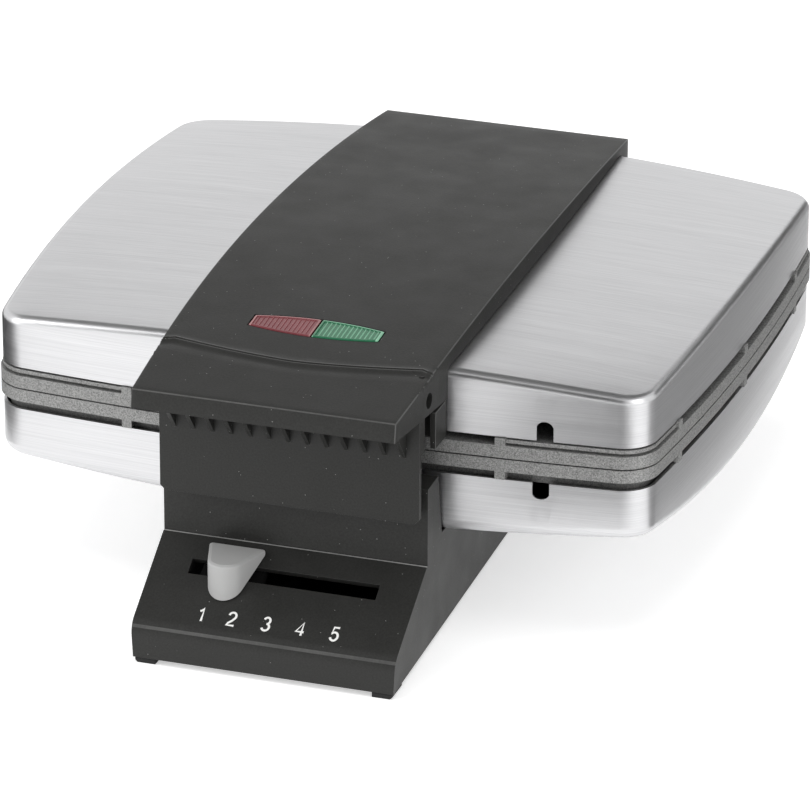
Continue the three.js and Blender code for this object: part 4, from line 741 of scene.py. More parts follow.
def cut(bm, place, normal, only=None):
    """Cuts faces with a plane and keeps both sides."""
    faces = bm.faces[:] if only is None else faces_where(bm, only)
    edges = list({e for f in faces for e in f.edges})
    verts = list({v for f in faces for v in f.verts})
    bmesh.ops.bisect_plane(bm, geom=verts + edges + faces, dist=1e-7, plane_co=place, plane_no=normal)


def cut_along(bm, axis, values, only=None):
    """Cuts faces with planes square to an axis."""
    normal = Vector((0.0, 0.0, 0.0))
    normal[axis] = 1.0
    for value in values:
        cut(bm, normal * value, normal, only)


# %% [markdown]
# ## The notches in the front walls
# Each cover has a small slot with a round end in the right half of its front wall,
# open at the wall's edge, so that steam can leave. The two face each other.
# A few planes, turned step by step, cut the round end out of a patch of the wall,
# and the faces inside are deleted. The cuts stay inside the patch, so the rest of
# the wall keeps its clean grid, and the front can bow afterwards.

# %% Notches
BEND_AT_FRONT = 1 - END_BOW * share(-HALF_Y - END_WIDEST, HALF_Y) / HALF_X
NOTCH_X = {1: 96.0 * MM / BEND_AT_FRONT, -1: 94.5 * MM / BEND_AT_FRONT}
NOTCH_HALF = 3.6 * MM
NOTCH_HEIGHT = 10.3 * MM
NOTCH_STEPS = 10
PATCH_HALF = 6 * MM
PATCH_REACH = 14 * MM
ON_WALL = 0.5 * MM


def cut_notch(bm, wall_y, edge_z, side):
    """A slot with a round end in the front wall, open at the wall's edge."""
    notch_x = NOTCH_X[side]

    def near(c):
        return c.y < wall_y + ON_WALL and abs(c.x - notch_x) < PATCH_REACH
    cut_along(bm, 0, [notch_x - PATCH_HALF, notch_x + PATCH_HALF], near)

    def patch(c):
        return c.y < wall_y + ON_WALL and abs(c.x - notch_x) < PATCH_HALF
    cut_along(bm, 0, [notch_x - NOTCH_HALF, notch_x + NOTCH_HALF], patch)
    middle = edge_z + side * (NOTCH_HEIGHT - NOTCH_HALF)
    cut_along(bm, 2, [middle], patch)

    def column(c):
        return patch(c) and abs(c.x - notch_x) < NOTCH_HALF and (c.z - middle) * side > 0
    for i in range(NOTCH_STEPS):
        a = math.pi * i / NOTCH_STEPS
        b = math.pi * (i + 1) / NOTCH_STEPS
        p = Vector((notch_x + NOTCH_HALF * math.cos(a), 0, middle + side * NOTCH_HALF * math.sin(a)))
        q = Vector((notch_x + NOTCH_HALF * math.cos(b), 0, middle + side * NOTCH_HALF * math.sin(b)))
        along = q - p
        cut(bm, p, Vector((along.z, 0, -along.x)).normalized(), column)

    def inside(c):
        if not patch(c) or abs(c.x - notch_x) > NOTCH_HALF:
            return False
        over = (c.z - middle) * side
        return over < 0 or math.hypot(c.x - notch_x, over) < NOTCH_HALF
    bmesh.ops.delete(bm, geom=faces_where(bm, inside), context="FACES")


print("notches", 2 * NOTCH_HALF / MM, "mm wide and", NOTCH_HEIGHT / MM, "mm high")

# %% [markdown]
# ## From a bmesh to a finished piece
# A bmesh is a mesh under construction. Once its shape is right, it becomes an object,
# gets its finish, and is tied to one body of the CAD model, so that it moves with it.
# Its faces are shaded smooth. Edges that should look folded are marked hard,
# which is cheaper than cutting them and keeps the mesh in one piece.
# Pressed and moulded shells get their wall from a modifier, so that its thickness
# stays one number that is easy to change.

# %% Making a piece


def piece_from(bm, name, material, body, replaced=(), sharp=None):
    """Turns a bmesh into an object that rides on a body of the CAD model.

    Edges turned by more than the sharp angle, and open edges, are drawn hard.
    Without a sharp angle every edge is soft, for pieces whose edges are rounded later.
    """
    if sharp is not None:
        for edge in bm.edges:
            folded = not edge.is_manifold or edge.calc_face_angle() > math.radians(sharp)
            edge.smooth = not folded
    for face in bm.faces:
        face.smooth = True
    mesh = bpy.data.meshes.new(name)
    bm.to_mesh(mesh)
    bm.free()
    item = bpy.data.objects.new(name, mesh)
    scene.collection.objects.link(item)
    mesh.materials.append(material)
    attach(item, body)
    if replaced:
        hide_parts(*replaced)
    print(name, "has", len(mesh.polygons), "faces")
    return item


def thicken(item, wall):
    """Gives an open shell its wall, on the inside."""
    modifier = item.modifiers.new("wall", "SOLIDIFY")
    modifier.thickness = wall
    modifier.offset = -1.0
    modifier.use_even_offset = True


# %% [markdown]
# ## The steel covers
# Each half wears a pressed cover of brushed steel sheet. A slab with round corners loses
# its open side, planes cut it into a grid, and the grid is then bent: its sides bow out
# and its top becomes a shallow dome. A modifier gives it the thickness of the sheet.
# A subdivided box would be quicker, but its corners would swell instead of turning
# with an even radius.

# %% Steel covers
COVER_GRID_X = 125 * MM
COVER_GRID_Y = 105 * MM
MOSTLY_LEVEL = 0.75


def steps(first, last, count):
    """Values from first to last with even gaps."""
    return [first + (last - first) * i / count for i in range(count + 1)]


def steel_cover(side, name, body, node):
    """A pressed steel shell. side is 1 for the upper cover and -1 for the lower one."""
    half_x = HALF_X - COVER_INSET
    half_y = HALF_Y - COVER_INSET
    edge = COVER_EDGE[side]
    apex = APEX[side]
    rounding = COVER_ROUND[side]
    bm = bmesh.new()
    rounded_slab(bm, half_x, half_y, min(edge, apex), max(edge, apex), CORNER - COVER_INSET, 12)
    rim = [e for e in bm.edges if all(abs(v.co.z - apex) < TINY for v in e.verts)]
    soften(bm, rim, rounding, 8)
    open_faces = [f for f in bm.faces if all(abs(v.co.z - edge) < TINY for v in f.verts)]
    bmesh.ops.delete(bm, geom=open_faces, context="FACES_ONLY")
    cut_along(bm, 0, steps(-COVER_GRID_X, COVER_GRID_X, 20))
    cut_along(bm, 1, steps(-COVER_GRID_Y, COVER_GRID_Y, 18))
    cut_notch(bm, -half_y, edge, side)
    wall = abs(apex - edge) - rounding
    for v in bm.verts:
        x, y = bowed(v.co.x, v.co.y, half_x, half_y)
        rise = abs(v.co.z - edge)
        top = abs(crown(side, x, y) - edge) - rounding
        height = rise * top / wall if rise < wall else top + rise - wall
        v.co = Vector((x, y + CENTRE_Y, edge + side * height))
    bm.normal_update()
    cover = piece_from(bm, name, STEEL_ALONG_X, body, (node,), sharp=60)
    cover.data.materials.append(STEEL_TOP)
    for polygon in cover.data.polygons:
        polygon.material_index = 1 if abs(polygon.normal.z) > MOSTLY_LEVEL else 0
    thicken(cover, COVER_WALL)


steel_cover(1, "steel_cover_upper", "lid", "upper_cover")
steel_cover(-1, "steel_cover_lower", "base", "lower_cover")

# %% [markdown]
# ## The rim of a waffle plate
# Each plate is one aluminium casting. Its flat rim shows between the covers, and short
# tabs keep the cover off the rim, so that air passes between them. The rim has to bow
# like the covers, so its border is cut into short stretches. The faces where a tab
# belongs are marked with cuts now and pulled out later.

# %% Rim and tabs
PAN_X = 111.5 * MM
PAN_Y = 92.0 * MM
BORDER_X, BORDER_Y = 100 * MM, 60 * MM
BEFORE_CORNER_X, BEFORE_CORNER_Y = 122 * MM, 105 * MM
TAB_WIDTH = 4.4 * MM
TAB_DEPTH = 4.0 * MM
TAB_X = 78.2 * MM / BEND_AT_FRONT
TAB_ROWS = [-81.75 * MM / (1 - FRONT_BOW / HALF_Y), -0.75 * MM, 80.25 * MM / (1 - BACK_BOW / HALF_Y)]
VENT = {1: 3.3 * MM, -1: 3.7 * MM}


def outside_pan(c):
    """True on the border, outside the pan that holds the moulds."""
    return abs(c.x) > PAN_X or abs(c.y) > PAN_Y


def mark_outline(bm):
    """Cuts the border into short stretches, and returns a test for the faces of the tabs."""
    half = TAB_WIDTH / 2
    tab_x = [s * TAB_X + d for s in (-1, 1) for d in (-half, half)]
    tab_y = [y + d for y in TAB_ROWS for d in (-half, half)]
    cut_along(bm, 0, [-PAN_X, PAN_X])
    cut_along(bm, 1, [-PAN_Y, PAN_Y])
    corner_x = [-BEFORE_CORNER_X, BEFORE_CORNER_X]
    corner_y = [-BEFORE_CORNER_Y, BEFORE_CORNER_Y]
    cut_along(bm, 0, steps(-BORDER_X, BORDER_X, 10) + tab_x + corner_x, outside_pan)
    cut_along(bm, 1, steps(-BORDER_Y, BORDER_Y, 6) + tab_y + corner_y, outside_pan)

    def front_cell(c):
        return outside_pan(c) and abs(abs(c.x) - TAB_X) < half and abs(c.y) > PAN_Y

    def end_cell(c):
        return abs(c.x) > PAN_X and any(abs(c.y - y) < half for y in TAB_ROWS)
    cut_along(bm, 1, [s * (HALF_Y - TAB_DEPTH) for s in (-1, 1)], front_cell)
    cut_along(bm, 0, [s * (HALF_X - TAB_DEPTH) for s in (-1, 1)], end_cell)

    def on_tab(c):
        if abs(c.z) > TINY:
            return False
        at_front = front_cell(c) and abs(c.y) > HALF_Y - TAB_DEPTH
        at_end = end_cell(c) and abs(c.x) > HALF_X - TAB_DEPTH
        return at_front or at_end
    return on_tab


print("tabs", TAB_WIDTH / MM, "mm wide in", len(TAB_ROWS), "rows at each end")

# %% [markdown]
# ## Moulds and pegs
# Inside each plate lie two moulds with rows of pegs, the negative of a waffle.
# Their walls lean a little, which is called draft, so that a baked waffle comes out.
# The mouths are cut into the slab and pushed down, then the pegs are cut into the
# floors and pulled up. Shrinking a moved face gives the draft. Separate pyramids set
# onto the floor would be quicker to write, but would leave faces hidden inside each
# other.

# %% Moulds and pegs
MOULD_X = 56.0 * MM
MOULD_SIZE = (103.0 * MM, 176.0 * MM)
MOULD_DEPTH = 12.0 * MM
MOULD_DRAFT = 2.5 * MM
MOULD_WALL = 4.0 * MM
PEG_BASE = 17.0 * MM
PEG_TIP = 12.0 * MM
PEG_BELOW = 2.1 * MM
PEG_COLUMNS = 4
PEG_ROWS = 7


def pull(bm, faces, offset):
    """Draws faces out, leaves walls behind them, and returns the moved faces."""
    edges = list({e for f in faces for e in f.edges})
    made = bmesh.ops.extrude_face_region(bm, geom=faces + edges)
    moved = [g for g in made["geom"] if isinstance(g, bmesh.types.BMFace)]
    verts = list({v for f in moved for v in f.verts})
    bmesh.ops.translate(bm, vec=offset, verts=verts)
    return moved


def shrink(bm, face, centre, share_x, share_y):
    """Scales a face's corners towards a centre, in the plan."""
    space = Matrix.Translation((-centre[0], -centre[1], 0.0))
    bmesh.ops.scale(bm, vec=(share_x, share_y, 1.0), space=space, verts=list(face.verts))


def sink_moulds(bm):
    """Pushes the two moulds down into the slab, and pulls the pegs up from their floors."""
    half_width, half_length = MOULD_SIZE[0] / 2, MOULD_SIZE[1] / 2

    def pan_top(c):
        return c.z > RIM - TINY and not outside_pan(c)
    cut_along(bm, 0, [s * MOULD_X + d for s in (-1, 1) for d in (-half_width, half_width)], pan_top)
    cut_along(bm, 1, [-half_length, half_length], pan_top)

    def mouth(c):
        return pan_top(c) and abs(abs(c.x) - MOULD_X) < half_width and abs(c.y) < half_length
    floors = pull(bm, faces_where(bm, mouth), (0, 0, -MOULD_DEPTH))
    for face in floors:
        centre = (math.copysign(MOULD_X, face.calc_center_median().x), 0.0)
        taper_x = 1 - MOULD_DRAFT / half_width
        taper_y = 1 - MOULD_DRAFT / half_length
        shrink(bm, face, centre, taper_x, taper_y)

    def floor_face(c):
        return abs(c.z - RIM + MOULD_DEPTH) < TINY
    pitch_x = (MOULD_SIZE[0] - 2 * MOULD_DRAFT) / PEG_COLUMNS
    pitch_y = (MOULD_SIZE[1] - 2 * MOULD_DRAFT) / PEG_ROWS
    half = PEG_BASE / 2
    across = [(i - (PEG_COLUMNS - 1) / 2) * pitch_x for i in range(PEG_COLUMNS)]
    columns = [s * MOULD_X + x for s in (-1, 1) for x in across]
    rows = [(i - (PEG_ROWS - 1) / 2) * pitch_y for i in range(PEG_ROWS)]
    cut_along(bm, 0, [x + d for x in columns for d in (-half, half)], floor_face)
    cut_along(bm, 1, [y + d for y in rows for d in (-half, half)], floor_face)

    def peg(c):
        in_column = any(abs(c.x - x) < half for x in columns)
        return floor_face(c) and in_column and any(abs(c.y - y) < half for y in rows)
    for tip in pull(bm, faces_where(bm, peg), (0, 0, MOULD_DEPTH - PEG_BELOW)):
        centre = tip.calc_center_median()
        shrink(bm, tip, (centre.x, centre.y), PEG_TIP / PEG_BASE, PEG_TIP / PEG_BASE)


print("pegs in each mould:", PEG_COLUMNS, "times", PEG_ROWS)

# %% [markdown]
# ## Ledges on the rims
# Over the upper rim runs a light rail above a dark groove. Under the lower rim a dark
# step is set back. Both are thin slabs inside the rim's outline, joined to the plate's
# mesh. The groove and the step take the plate's darker cast finish, which is painted shade.
# The upper ones draw back between the tabs, where the casting is hollowed.
# Dark paint on one flat wall would not shade like a groove.

# %% Ledges
# Each ledge: inset from the rim, lower face, upper face
GROOVE = (2.0 * MM, -1.3 * MM, RIM / 4)
RAIL = (0.9 * MM, -2.5 * MM, -1.0 * MM)
UNDER_STEP = (4.2 * MM, -VENT[-1] - MM, RIM / 4)
LEDGE_STEP = 6.0 * MM
LEDGE_GRID_X = 120 * MM
LEDGE_GRID_Y = 100 * MM


def ledge_slab(inset, low, high, corners_only=False):
    """A step on the rim as a bmesh of its own. It can draw back between the tabs."""
    bm = bmesh.new()
    rounded_slab(bm, HALF_X - inset, HALF_Y - inset, low, high, CORNER - inset, 10)
    reach_x = TAB_X - TAB_WIDTH / 2
    front_y, back_y = TAB_ROWS[0] + TAB_WIDTH / 2, TAB_ROWS[2] - TAB_WIDTH / 2
    turns_x = [s * (reach_x + d) for s in (-1, 1) for d in (0, TAB_WIDTH)]
    turns_y = [front_y - TAB_WIDTH, front_y, back_y, back_y + TAB_WIDTH]
    cut_along(bm, 0, steps(-LEDGE_GRID_X, LEDGE_GRID_X, 12) + turns_x)
    cut_along(bm, 1, steps(-LEDGE_GRID_Y, LEDGE_GRID_Y, 10) + turns_y)
    if not corners_only:
        return bm
    for v in bm.verts:
        if abs(v.co.x) < reach_x + TINY and abs(v.co.y) > HALF_Y - inset - TINY:
            v.co.y -= math.copysign(LEDGE_STEP, v.co.y)
        if front_y - TINY < v.co.y < back_y + TINY and abs(v.co.x) > HALF_X - inset - TINY:
            v.co.x -= math.copysign(LEDGE_STEP, v.co.x)
    return bm


def add_slab(bm, slab, dark=False):
    """Joins a slab to the plate. Its faces can take the plate's second, dark material, which is painted
    shade.
    """
    for face in slab.faces:
        face.material_index = 1 if dark else 0
    mesh = bpy.data.meshes.new("slab")
    slab.to_mesh(mesh)
    slab.free()
    bm.from_mesh(mesh)
    bpy.data.meshes.remove(mesh)


def add_ledges(bm, side):
    """A light rail over a dark groove on the upper rim, and a set-back step under the lower one."""
    if side > 0:
        add_slab(bm, ledge_slab(*GROOVE, corners_only=True), dark=True)
        add_slab(bm, ledge_slab(*RAIL, corners_only=True))
    else:
        add_slab(bm, ledge_slab(*UNDER_STEP), dark=True)


for word, ledge in (("groove", GROOVE), ("rail", RAIL), ("step", UNDER_STEP)):
    print(word, "is set in by", round(ledge[0] / MM, 1), "mm")

# %% [markdown]
# ## The two plates
# Both plates come from one function, built with the moulds up. The pan is pushed out
# below, the tabs are pulled, and four round posts reach to the cover, where its screws
# hold. Only the border bows. The moulds stay straight. The upper plate is the same
# shape turned over, so the two close on each other without a gap.
# No cast edge is quite sharp, so a bevel modifier rounds them all by half a millimetre.

# %% Waffle plates
PLATE_ROUNDING = 0.5 * MM
POST_RADIUS = 4.5 * MM
POSTS = [(x * MM, y * MM) for x in (-40.0, 40.0) for y in (-81.25, 78.75)]


def face_outwards(bm):
    """Turns every face so that its front looks out of the solid."""
    bmesh.ops.recalc_face_normals(bm, faces=bm.faces[:])


def round_edges(item, width, angle=40.0, edge_highlight_material=None):
    """Rounds every edge that turns by more than the angle, and may give the rounding a paler finish, a
    painted highlight.
    """
    modifier = item.modifiers.new("edges", "BEVEL")
    modifier.width = width
    modifier.segments = 2
    modifier.limit_method = "ANGLE"
    modifier.angle_limit = math.radians(angle)
    modifier.harden_normals = True
    if edge_highlight_material is not None:
        item.data.materials.append(edge_highlight_material)
        modifier.material = len(item.data.materials) - 1


def waffle_plate(side, name, body, node):
    """Built with its moulds up and its rim from 0 to RIM, then bowed, placed and mirrored."""
    bm = bmesh.new()
    rounded_slab(bm, HALF_X, HALF_Y, 0.0, RIM, CORNER, 10)
    on_tab = mark_outline(bm)
    sink_moulds(bm)

    def underside(c):
        return abs(c.z) < TINY and not outside_pan(c)
    pull(bm, faces_where(bm, underside), (0, 0, RIM - MOULD_DEPTH - MOULD_WALL))
    pull(bm, faces_where(bm, on_tab), (0, 0, SEAT_GAP - VENT[side]))
    add_ledges(bm, side)
    for v in bm.verts:
        x, y = v.co.x, v.co.y
        if abs(x) > PAN_X + TINY or abs(y) > PAN_Y + TINY:
            x, y = bowed(x, y, HALF_X, HALF_Y)
        z = LOWER_RIM_BOTTOM + v.co.z
        v.co = Vector((x, y + CENTRE_Y, z if side < 0 else 2 * PARTING - z))
    pan_back = LOWER_RIM_BOTTOM + RIM - MOULD_DEPTH - MOULD_WALL
    pan_back = pan_back if side < 0 else 2 * PARTING - pan_back
    for x, y in POSTS:
        seat = crown(side, abs(x) + POST_RADIUS, y) - side * (COVER_WALL + SEAT_GAP)
        length = abs(seat - pan_back) + MM
        place = Matrix.Translation((x, y + CENTRE_Y, (seat + pan_back - side * MM) / 2))
        bmesh.ops.create_cone(
            bm, cap_ends=True, segments=24, radius1=POST_RADIUS, radius2=POST_RADIUS,
            depth=length, matrix=place,
        )
    face_outwards(bm)
    plate = piece_from(bm, name, CAST, body, (node,))
    # The second finish is the darker cast, painted shade on the groove and the step.
    plate.data.materials.append(CAST_SHADED)
    round_edges(plate, PLATE_ROUNDING)


waffle_plate(1, "waffle_plate_upper", "lid", "upper_plate")
waffle_plate(-1, "waffle_plate_lower", "base", "lower_plate")

# %% [markdown]
# ## The strap
# One black moulding runs over the lid, from the lip that lifts it to the hinge.
# Its shape can be given as curves: how high and how wide it is at each depth, where its
# sides end on the steel, and how far a groove and a window bend back at each place
# across. A subdivided box could be pushed about until it looks right, but curves keep
# the strap seated on the dome below it.

# %% Strap sizes and curves
STRAP_APEX = 128.4 * MM
STRAP_FRONT_DROP = 11.6 * MM
STRAP_BACK_DROP = 8.6 * MM
STRAP_HALF = 54.1 * MM
STRAP_SIDE_BOW = 4.4 * MM
STRAP_WALL = 2.6 * MM
STRAP_BACK_Y = 155.5 * MM
LIP_FRONT_Y = -158.5 * MM
LIP_TOP_Y = -157.2 * MM
LIP_UNDER_FRONT = 109.1 * MM
LIP_UNDER_BACK = 104.8 * MM
TAIL_Z = 94.0 * MM
PIN_Y = -121.6 * MM
PIN_Z = 112.2 * MM
PIN_HOLE = 3.2 * MM
LENS_Y = -94.0 * MM
LENS_HALF = 27.2 * MM
LENS_MIDDLE = 7.5 * MM
LENS_END = 4.3 * MM
LENS_SEAM = 0.3 * MM
GROOVE_TURN = 51.5 * MM
GROOVE_RISE = 6.5 * MM
GROOVE_POWER = 1.5
GROOVE_RETURN = 0.48
WINDOW_FADE = 20 * MM
COVER_FRONT = CENTRE_Y - HALF_Y + COVER_INSET + FRONT_BOW * share(STRAP_HALF, HALF_X)
COVER_BACK = CENTRE_Y + HALF_Y - COVER_INSET - BACK_BOW * share(STRAP_HALF, HALF_X)


def strap_top(y):
    """Height of the strap: an arch that falls more to the front than to the back."""
    if y < 0:
        return STRAP_APEX - STRAP_FRONT_DROP * share(y, LIP_TOP_Y)
    return STRAP_APEX - STRAP_BACK_DROP * share(y, STRAP_BACK_Y)


def strap_half(y):
    """Half the width of the strap, widest at the middle of the lid."""
    return STRAP_HALF + STRAP_SIDE_BOW * max(0.0, 1 - share(y, LIP_FRONT_Y))


def strap_under(x, y):
    """Where the strap's side ends: in the open, on the steel, or at the tail."""
    if y < COVER_FRONT - SEAT_GAP:
        way = (y - LIP_FRONT_Y) / (COVER_FRONT - LIP_FRONT_Y)
        return LIP_UNDER_FRONT + (LIP_UNDER_BACK - LIP_UNDER_FRONT) * way
    if y > COVER_BACK + SEAT_GAP:
        return TAIL_Z
    radius = COVER_ROUND[1]
    inwards = max(0.0, min(y - COVER_FRONT, COVER_BACK - y))
    short = max(0.0, radius - inwards)
    fall = radius - math.sqrt(radius ** 2 - short ** 2)
    return crown(1, x, y - CENTRE_Y) - fall + SEAT_GAP


def groove_rise(x):
    """How far back the groove lies at x. It runs forward again just before the edge."""
    if abs(x) < GROOVE_TURN:
        return GROOVE_RISE * (abs(x) / GROOVE_TURN) ** GROOVE_POWER
    return GROOVE_RISE - GROOVE_RETURN * (abs(x) - GROOVE_TURN)


def window_rise(x):
    """How far the window's edge has drawn in at x. It fades out beside the window."""
    reach = LENS_HALF + SEAT_GAP
    depth = LENS_MIDDLE - LENS_END
    if abs(x) <= reach:
        return depth * share(x, reach)
    fade = max(0.0, 1 - (abs(x) - reach) / WINDOW_FADE)
    return depth * fade ** 2


print("strap", round(2 * strap_half(0) / MM, 1), "mm wide at the middle")

# %% [markdown]
# ## The rows of the strap
# The strap's face is a grid of rows from front to back. Each row in the table says
# how much it follows the groove, how much it follows the window, and how high it lies.
# So the groove with its two crests and the frame of the window are part of the surface,
# and no piece has to be set into another. Rows lie close where the shape turns quickly.

# %% Strap rows
# Millimetres from the middle outwards, then from the edge inwards
INNER_COLUMNS = [0.0, 5.5, 11.0, 16.5, 22.0, 27.5, 33.0, 38.0, 43.0, 47.0]
EDGE_COLUMNS = [4.6, 2.2, 0.0]
# Each row: Y at the middle, share of the groove's bend, share of the window's bend, height
STRAP_ROWS = [
    (-157.2, 0.0, 0.0, 0.0), (-154.0, 0.0, 0.0, -0.05), (-149.0, 0.1, 0.0, -0.2),
    (-143.0, 0.3, 0.0, -0.3), (-136.5, 0.6, 0.0, -0.35), (-131.0, 0.85, 0.0, -0.4),
    (-127.3, 1.0, 0.0, -0.4), (-126.7, 1.0, 0.0, -0.6), (-125.2, 1.0, 0.0, -0.5),
    (-124.0, 1.0, 0.0, -0.25), (-123.1, 1.0, 0.0, 0.1), (-122.7, 1.0, 0.0, 0.1),
    (-122.4, 1.0, 0.0, -0.6), (-121.8, 1.0, 0.0, -0.6), (-121.5, 1.0, 0.0, 0.15),
    (-121.1, 1.0, 0.0, 0.15), (-120.4, 0.95, 0.0, 0.0), (-117.5, 0.8, 0.0, 0.0),
    (-113.5, 0.55, 0.0, 0.0), (-109.0, 0.3, 0.1, 0.0), (-105.5, 0.1, 0.4, 0.0),
    (-102.7, 0.0, 0.9, 0.0), (-101.8, 0.0, 1.0, 0.0), (-101.3, 0.0, 0.9, 0.0),
    (-100.5, 0.0, 0.75, 0.0), (-99.8, 0.0, 0.62, 0.0), (-98.6, 0.0, 0.4, 0.0),
    (-94.0, 0.0, 0.0, 0.0), (-89.4, 0.0, -0.4, 0.0), (-86.2, 0.0, -1.0, 0.0),
    (-83.0, 0.0, -0.4, 0.0),
]
STRAP_ROWS += [(y, 0.0, 0.0, 0.0) for y in steps(-76, 134, 21)]
STRAP_ROWS += [(y, 0.0, 0.0, 0.0) for y in (139.0, 141.0, 142.3, 143.2, 143.8, 144.3, 149.0, 155.5)]
WINDOW_ROWS = (-101.8, -86.2)
GROOVE_CRESTS = ((-123.1, -122.7), (-121.5, -121.1))


def strap_point(i, j):
    """The point in column i and row j."""
    y_middle, groove, window, height = STRAP_ROWS[j]
    middle = len(INNER_COLUMNS) + len(EDGE_COLUMNS) - 1
    number = abs(i - middle)
    sign = 1 if i > middle else -1
    if number < len(INNER_COLUMNS):
        x = INNER_COLUMNS[number] * MM
    else:
        x = strap_half(y_middle * MM) - EDGE_COLUMNS[number - len(INNER_COLUMNS)] * MM
    y = y_middle * MM + groove * groove_rise(x) + window * window_rise(x)
    if number == middle:
        x = strap_half(y)
    return Vector((sign * x, y, strap_top(max(y, LIP_TOP_Y)) + height * MM))


print("strap has", len(STRAP_ROWS), "rows")

# %% [markdown]
# ## Crests and pin holes
# The crests beside the groove get the paler edge finish, a painted highlight, so a test
# finds their faces by place.
# A round hole goes through each side of the strap, where a pin holds the guard.
# Planes around the hole cut a polygon out of a patch of the wall, as for the notches.

# %% Crests and holes
CREST_DEPTH = 1.2 * MM
CREST_REACH = 54 * MM
SIDE_WALL_X = 50 * MM
SIDE_WALL_TOP = 1.5 * MM
HOLE_PATCH = 9 * MM
HOLE_STEPS = 16
JUST_INSIDE = 0.98


def groove_lip(c):
    """True on the two narrow crests beside the groove."""
    if c.z < strap_top(c.y) - CREST_DEPTH or abs(c.x) > CREST_REACH:
        return False
    middle = (c.y - groove_rise(c.x)) / MM
    return any(low < middle < high for low, high in GROOVE_CRESTS)


def pin_hole(bm, side):
    """A round hole through the strap's side wall."""
    def patch(c):
        on_side = c.x * side > SIDE_WALL_X and c.z < strap_top(c.y) - SIDE_WALL_TOP
        return on_side and abs(c.y - PIN_Y) < HOLE_PATCH
    radius = PIN_HOLE / math.cos(math.pi / HOLE_STEPS)
    for i in range(HOLE_STEPS):
        a = 2 * math.pi * (i + 0.5) / HOLE_STEPS
        normal = Vector((0, math.cos(a), math.sin(a)))
        cut(bm, Vector((0, PIN_Y, PIN_Z)) + normal * PIN_HOLE, normal, patch)

    def inside(c):
        return patch(c) and math.hypot(c.y - PIN_Y, c.z - PIN_Z) < radius * JUST_INSIDE
    bmesh.ops.delete(bm, geom=faces_where(bm, inside), context="FACES")


print("pin holes", 2 * PIN_HOLE / MM, "mm wide")

# %% [markdown]
# ## The strap as a moulding
# The border of the grid is pulled down to make the sides, the lip and the tail, and the
# window is opened for the lenses. Every outer edge gets a small round with the paler edge
# finish, a painted highlight. A modifier then gives the shell its wall. Solid sides would
# hide the lamps and the pins, and no such strap is cast solid.

# %% Strap
STRAP_ROUNDING = 0.7 * MM
WINDOW_ABOVE = 110 * MM
STRAP_CORNER_X = 53 * MM
STRAP_CORNER_Y = 157 * MM
STRAP_CORNER_SPREAD = 2 * MM
STRAP_CORNER_HEIGHT = 5 * MM


def bent_grid(bm, columns, rows, place):
    """A grid whose point in column i and row j goes to place(i, j)."""
    made = bmesh.ops.create_grid(bm, x_segments=columns, y_segments=rows, size=0.5)
    for v in made["verts"]:
        i = round((v.co.x + 0.5) * columns)
        j = round((v.co.y + 0.5) * rows)
        v.co = place(i, j)
    return made["verts"]


def pull_down_sides(bm, border):
    """Adds the strap's sides below its border, and returns their lower points."""
    made = bmesh.ops.extrude_edge_only(bm, edges=border)
    lower = [g for g in made["geom"] if isinstance(g, bmesh.types.BMVert)]
    for v in lower:
        if v.co.y < LIP_TOP_Y + TINY:
            v.co.y = LIP_FRONT_Y
        v.co.z = strap_under(v.co.x, v.co.y)
    return lower


def open_window(bm):
    """Deletes the faces where the lenses belong."""
    front_row, back_row = (y * MM for y in WINDOW_ROWS)

    def window(c):
        if abs(c.x) > LENS_HALF + SEAT_GAP or c.z < WINDOW_ABOVE:
            return False
        rise = window_rise(c.x)
        return front_row + rise < c.y < back_row - rise
    bmesh.ops.delete(bm, geom=faces_where(bm, window), context="FACES")


def upright_edges(lower):
    """The upright edges at the four corners of the strap."""
    def at_corner(v):
        return abs(abs(v.co.y) - STRAP_CORNER_Y) < STRAP_CORNER_SPREAD

    def upright(e):
        first, second = e.verts
        tall = abs(first.co.z - second.co.z) > STRAP_CORNER_HEIGHT
        return tall and abs(first.co.x) > STRAP_CORNER_X
    return list({e for v in lower if at_corner(v) for e in v.link_edges if upright(e)})


def make_strap():
    """The grid, its sides, its window and its holes, then the rounding and the wall."""
    bm = bmesh.new()
    columns = 2 * (len(INNER_COLUMNS) + len(EDGE_COLUMNS) - 1)
    bent_grid(bm, columns, len(STRAP_ROWS) - 1, strap_point)
    border = [e for e in bm.edges if e.is_boundary]
    lower = pull_down_sides(bm, border)
    open_window(bm)
    face_outwards(bm)
    for side in (-1, 1):
        pin_hole(bm, side)
    upper = [e for e in border if e.is_valid and not e.is_boundary]
    rounded = soften(bm, upper + upright_edges(lower), STRAP_ROUNDING, 3)["faces"]
    # Rounded edges and groove crests take the paler edge finish: a painted highlight.
    for face in rounded + faces_where(bm, groove_lip):
        face.material_index = 1
    strap = piece_from(bm, "lid_strap", BLACK, "lid", ("top_strap",), sharp=32)
    strap.data.materials.append(BLACK_EDGE_HIGHLIGHT)
    thicken(strap, STRAP_WALL)


make_strap()

# %% [markdown]
# ## The ribs of a lens
# Two coloured lenses fill the window in the strap. Each has a smooth bevelled rim
# and thirteen fine ribs that spread the light of the lamp below.
# A grid with its heights set column by column gives the ribs as real faces.
# A bump texture would do from afar, but it would leave the mesh without them.

# %% Lens columns and rows
LENS_SPLIT = 0.8 * MM
LENS_PROUD = 0.3 * MM
LENS_DEPTH = 2.9 * MM
RIB_LINES = 13
# Millimetres from the lens's edge, and height
RIM_STEPS = [(0.0, -0.35), (0.5, 0.0), (1.0, 0.0), (1.3, -0.4)]
RIM_COUNT = len(RIM_STEPS)
RIB_HEIGHT = 0.32
LENS_LENGTH = (LENS_HALF - LENS_SEAM - LENS_SPLIT / 2) / MM


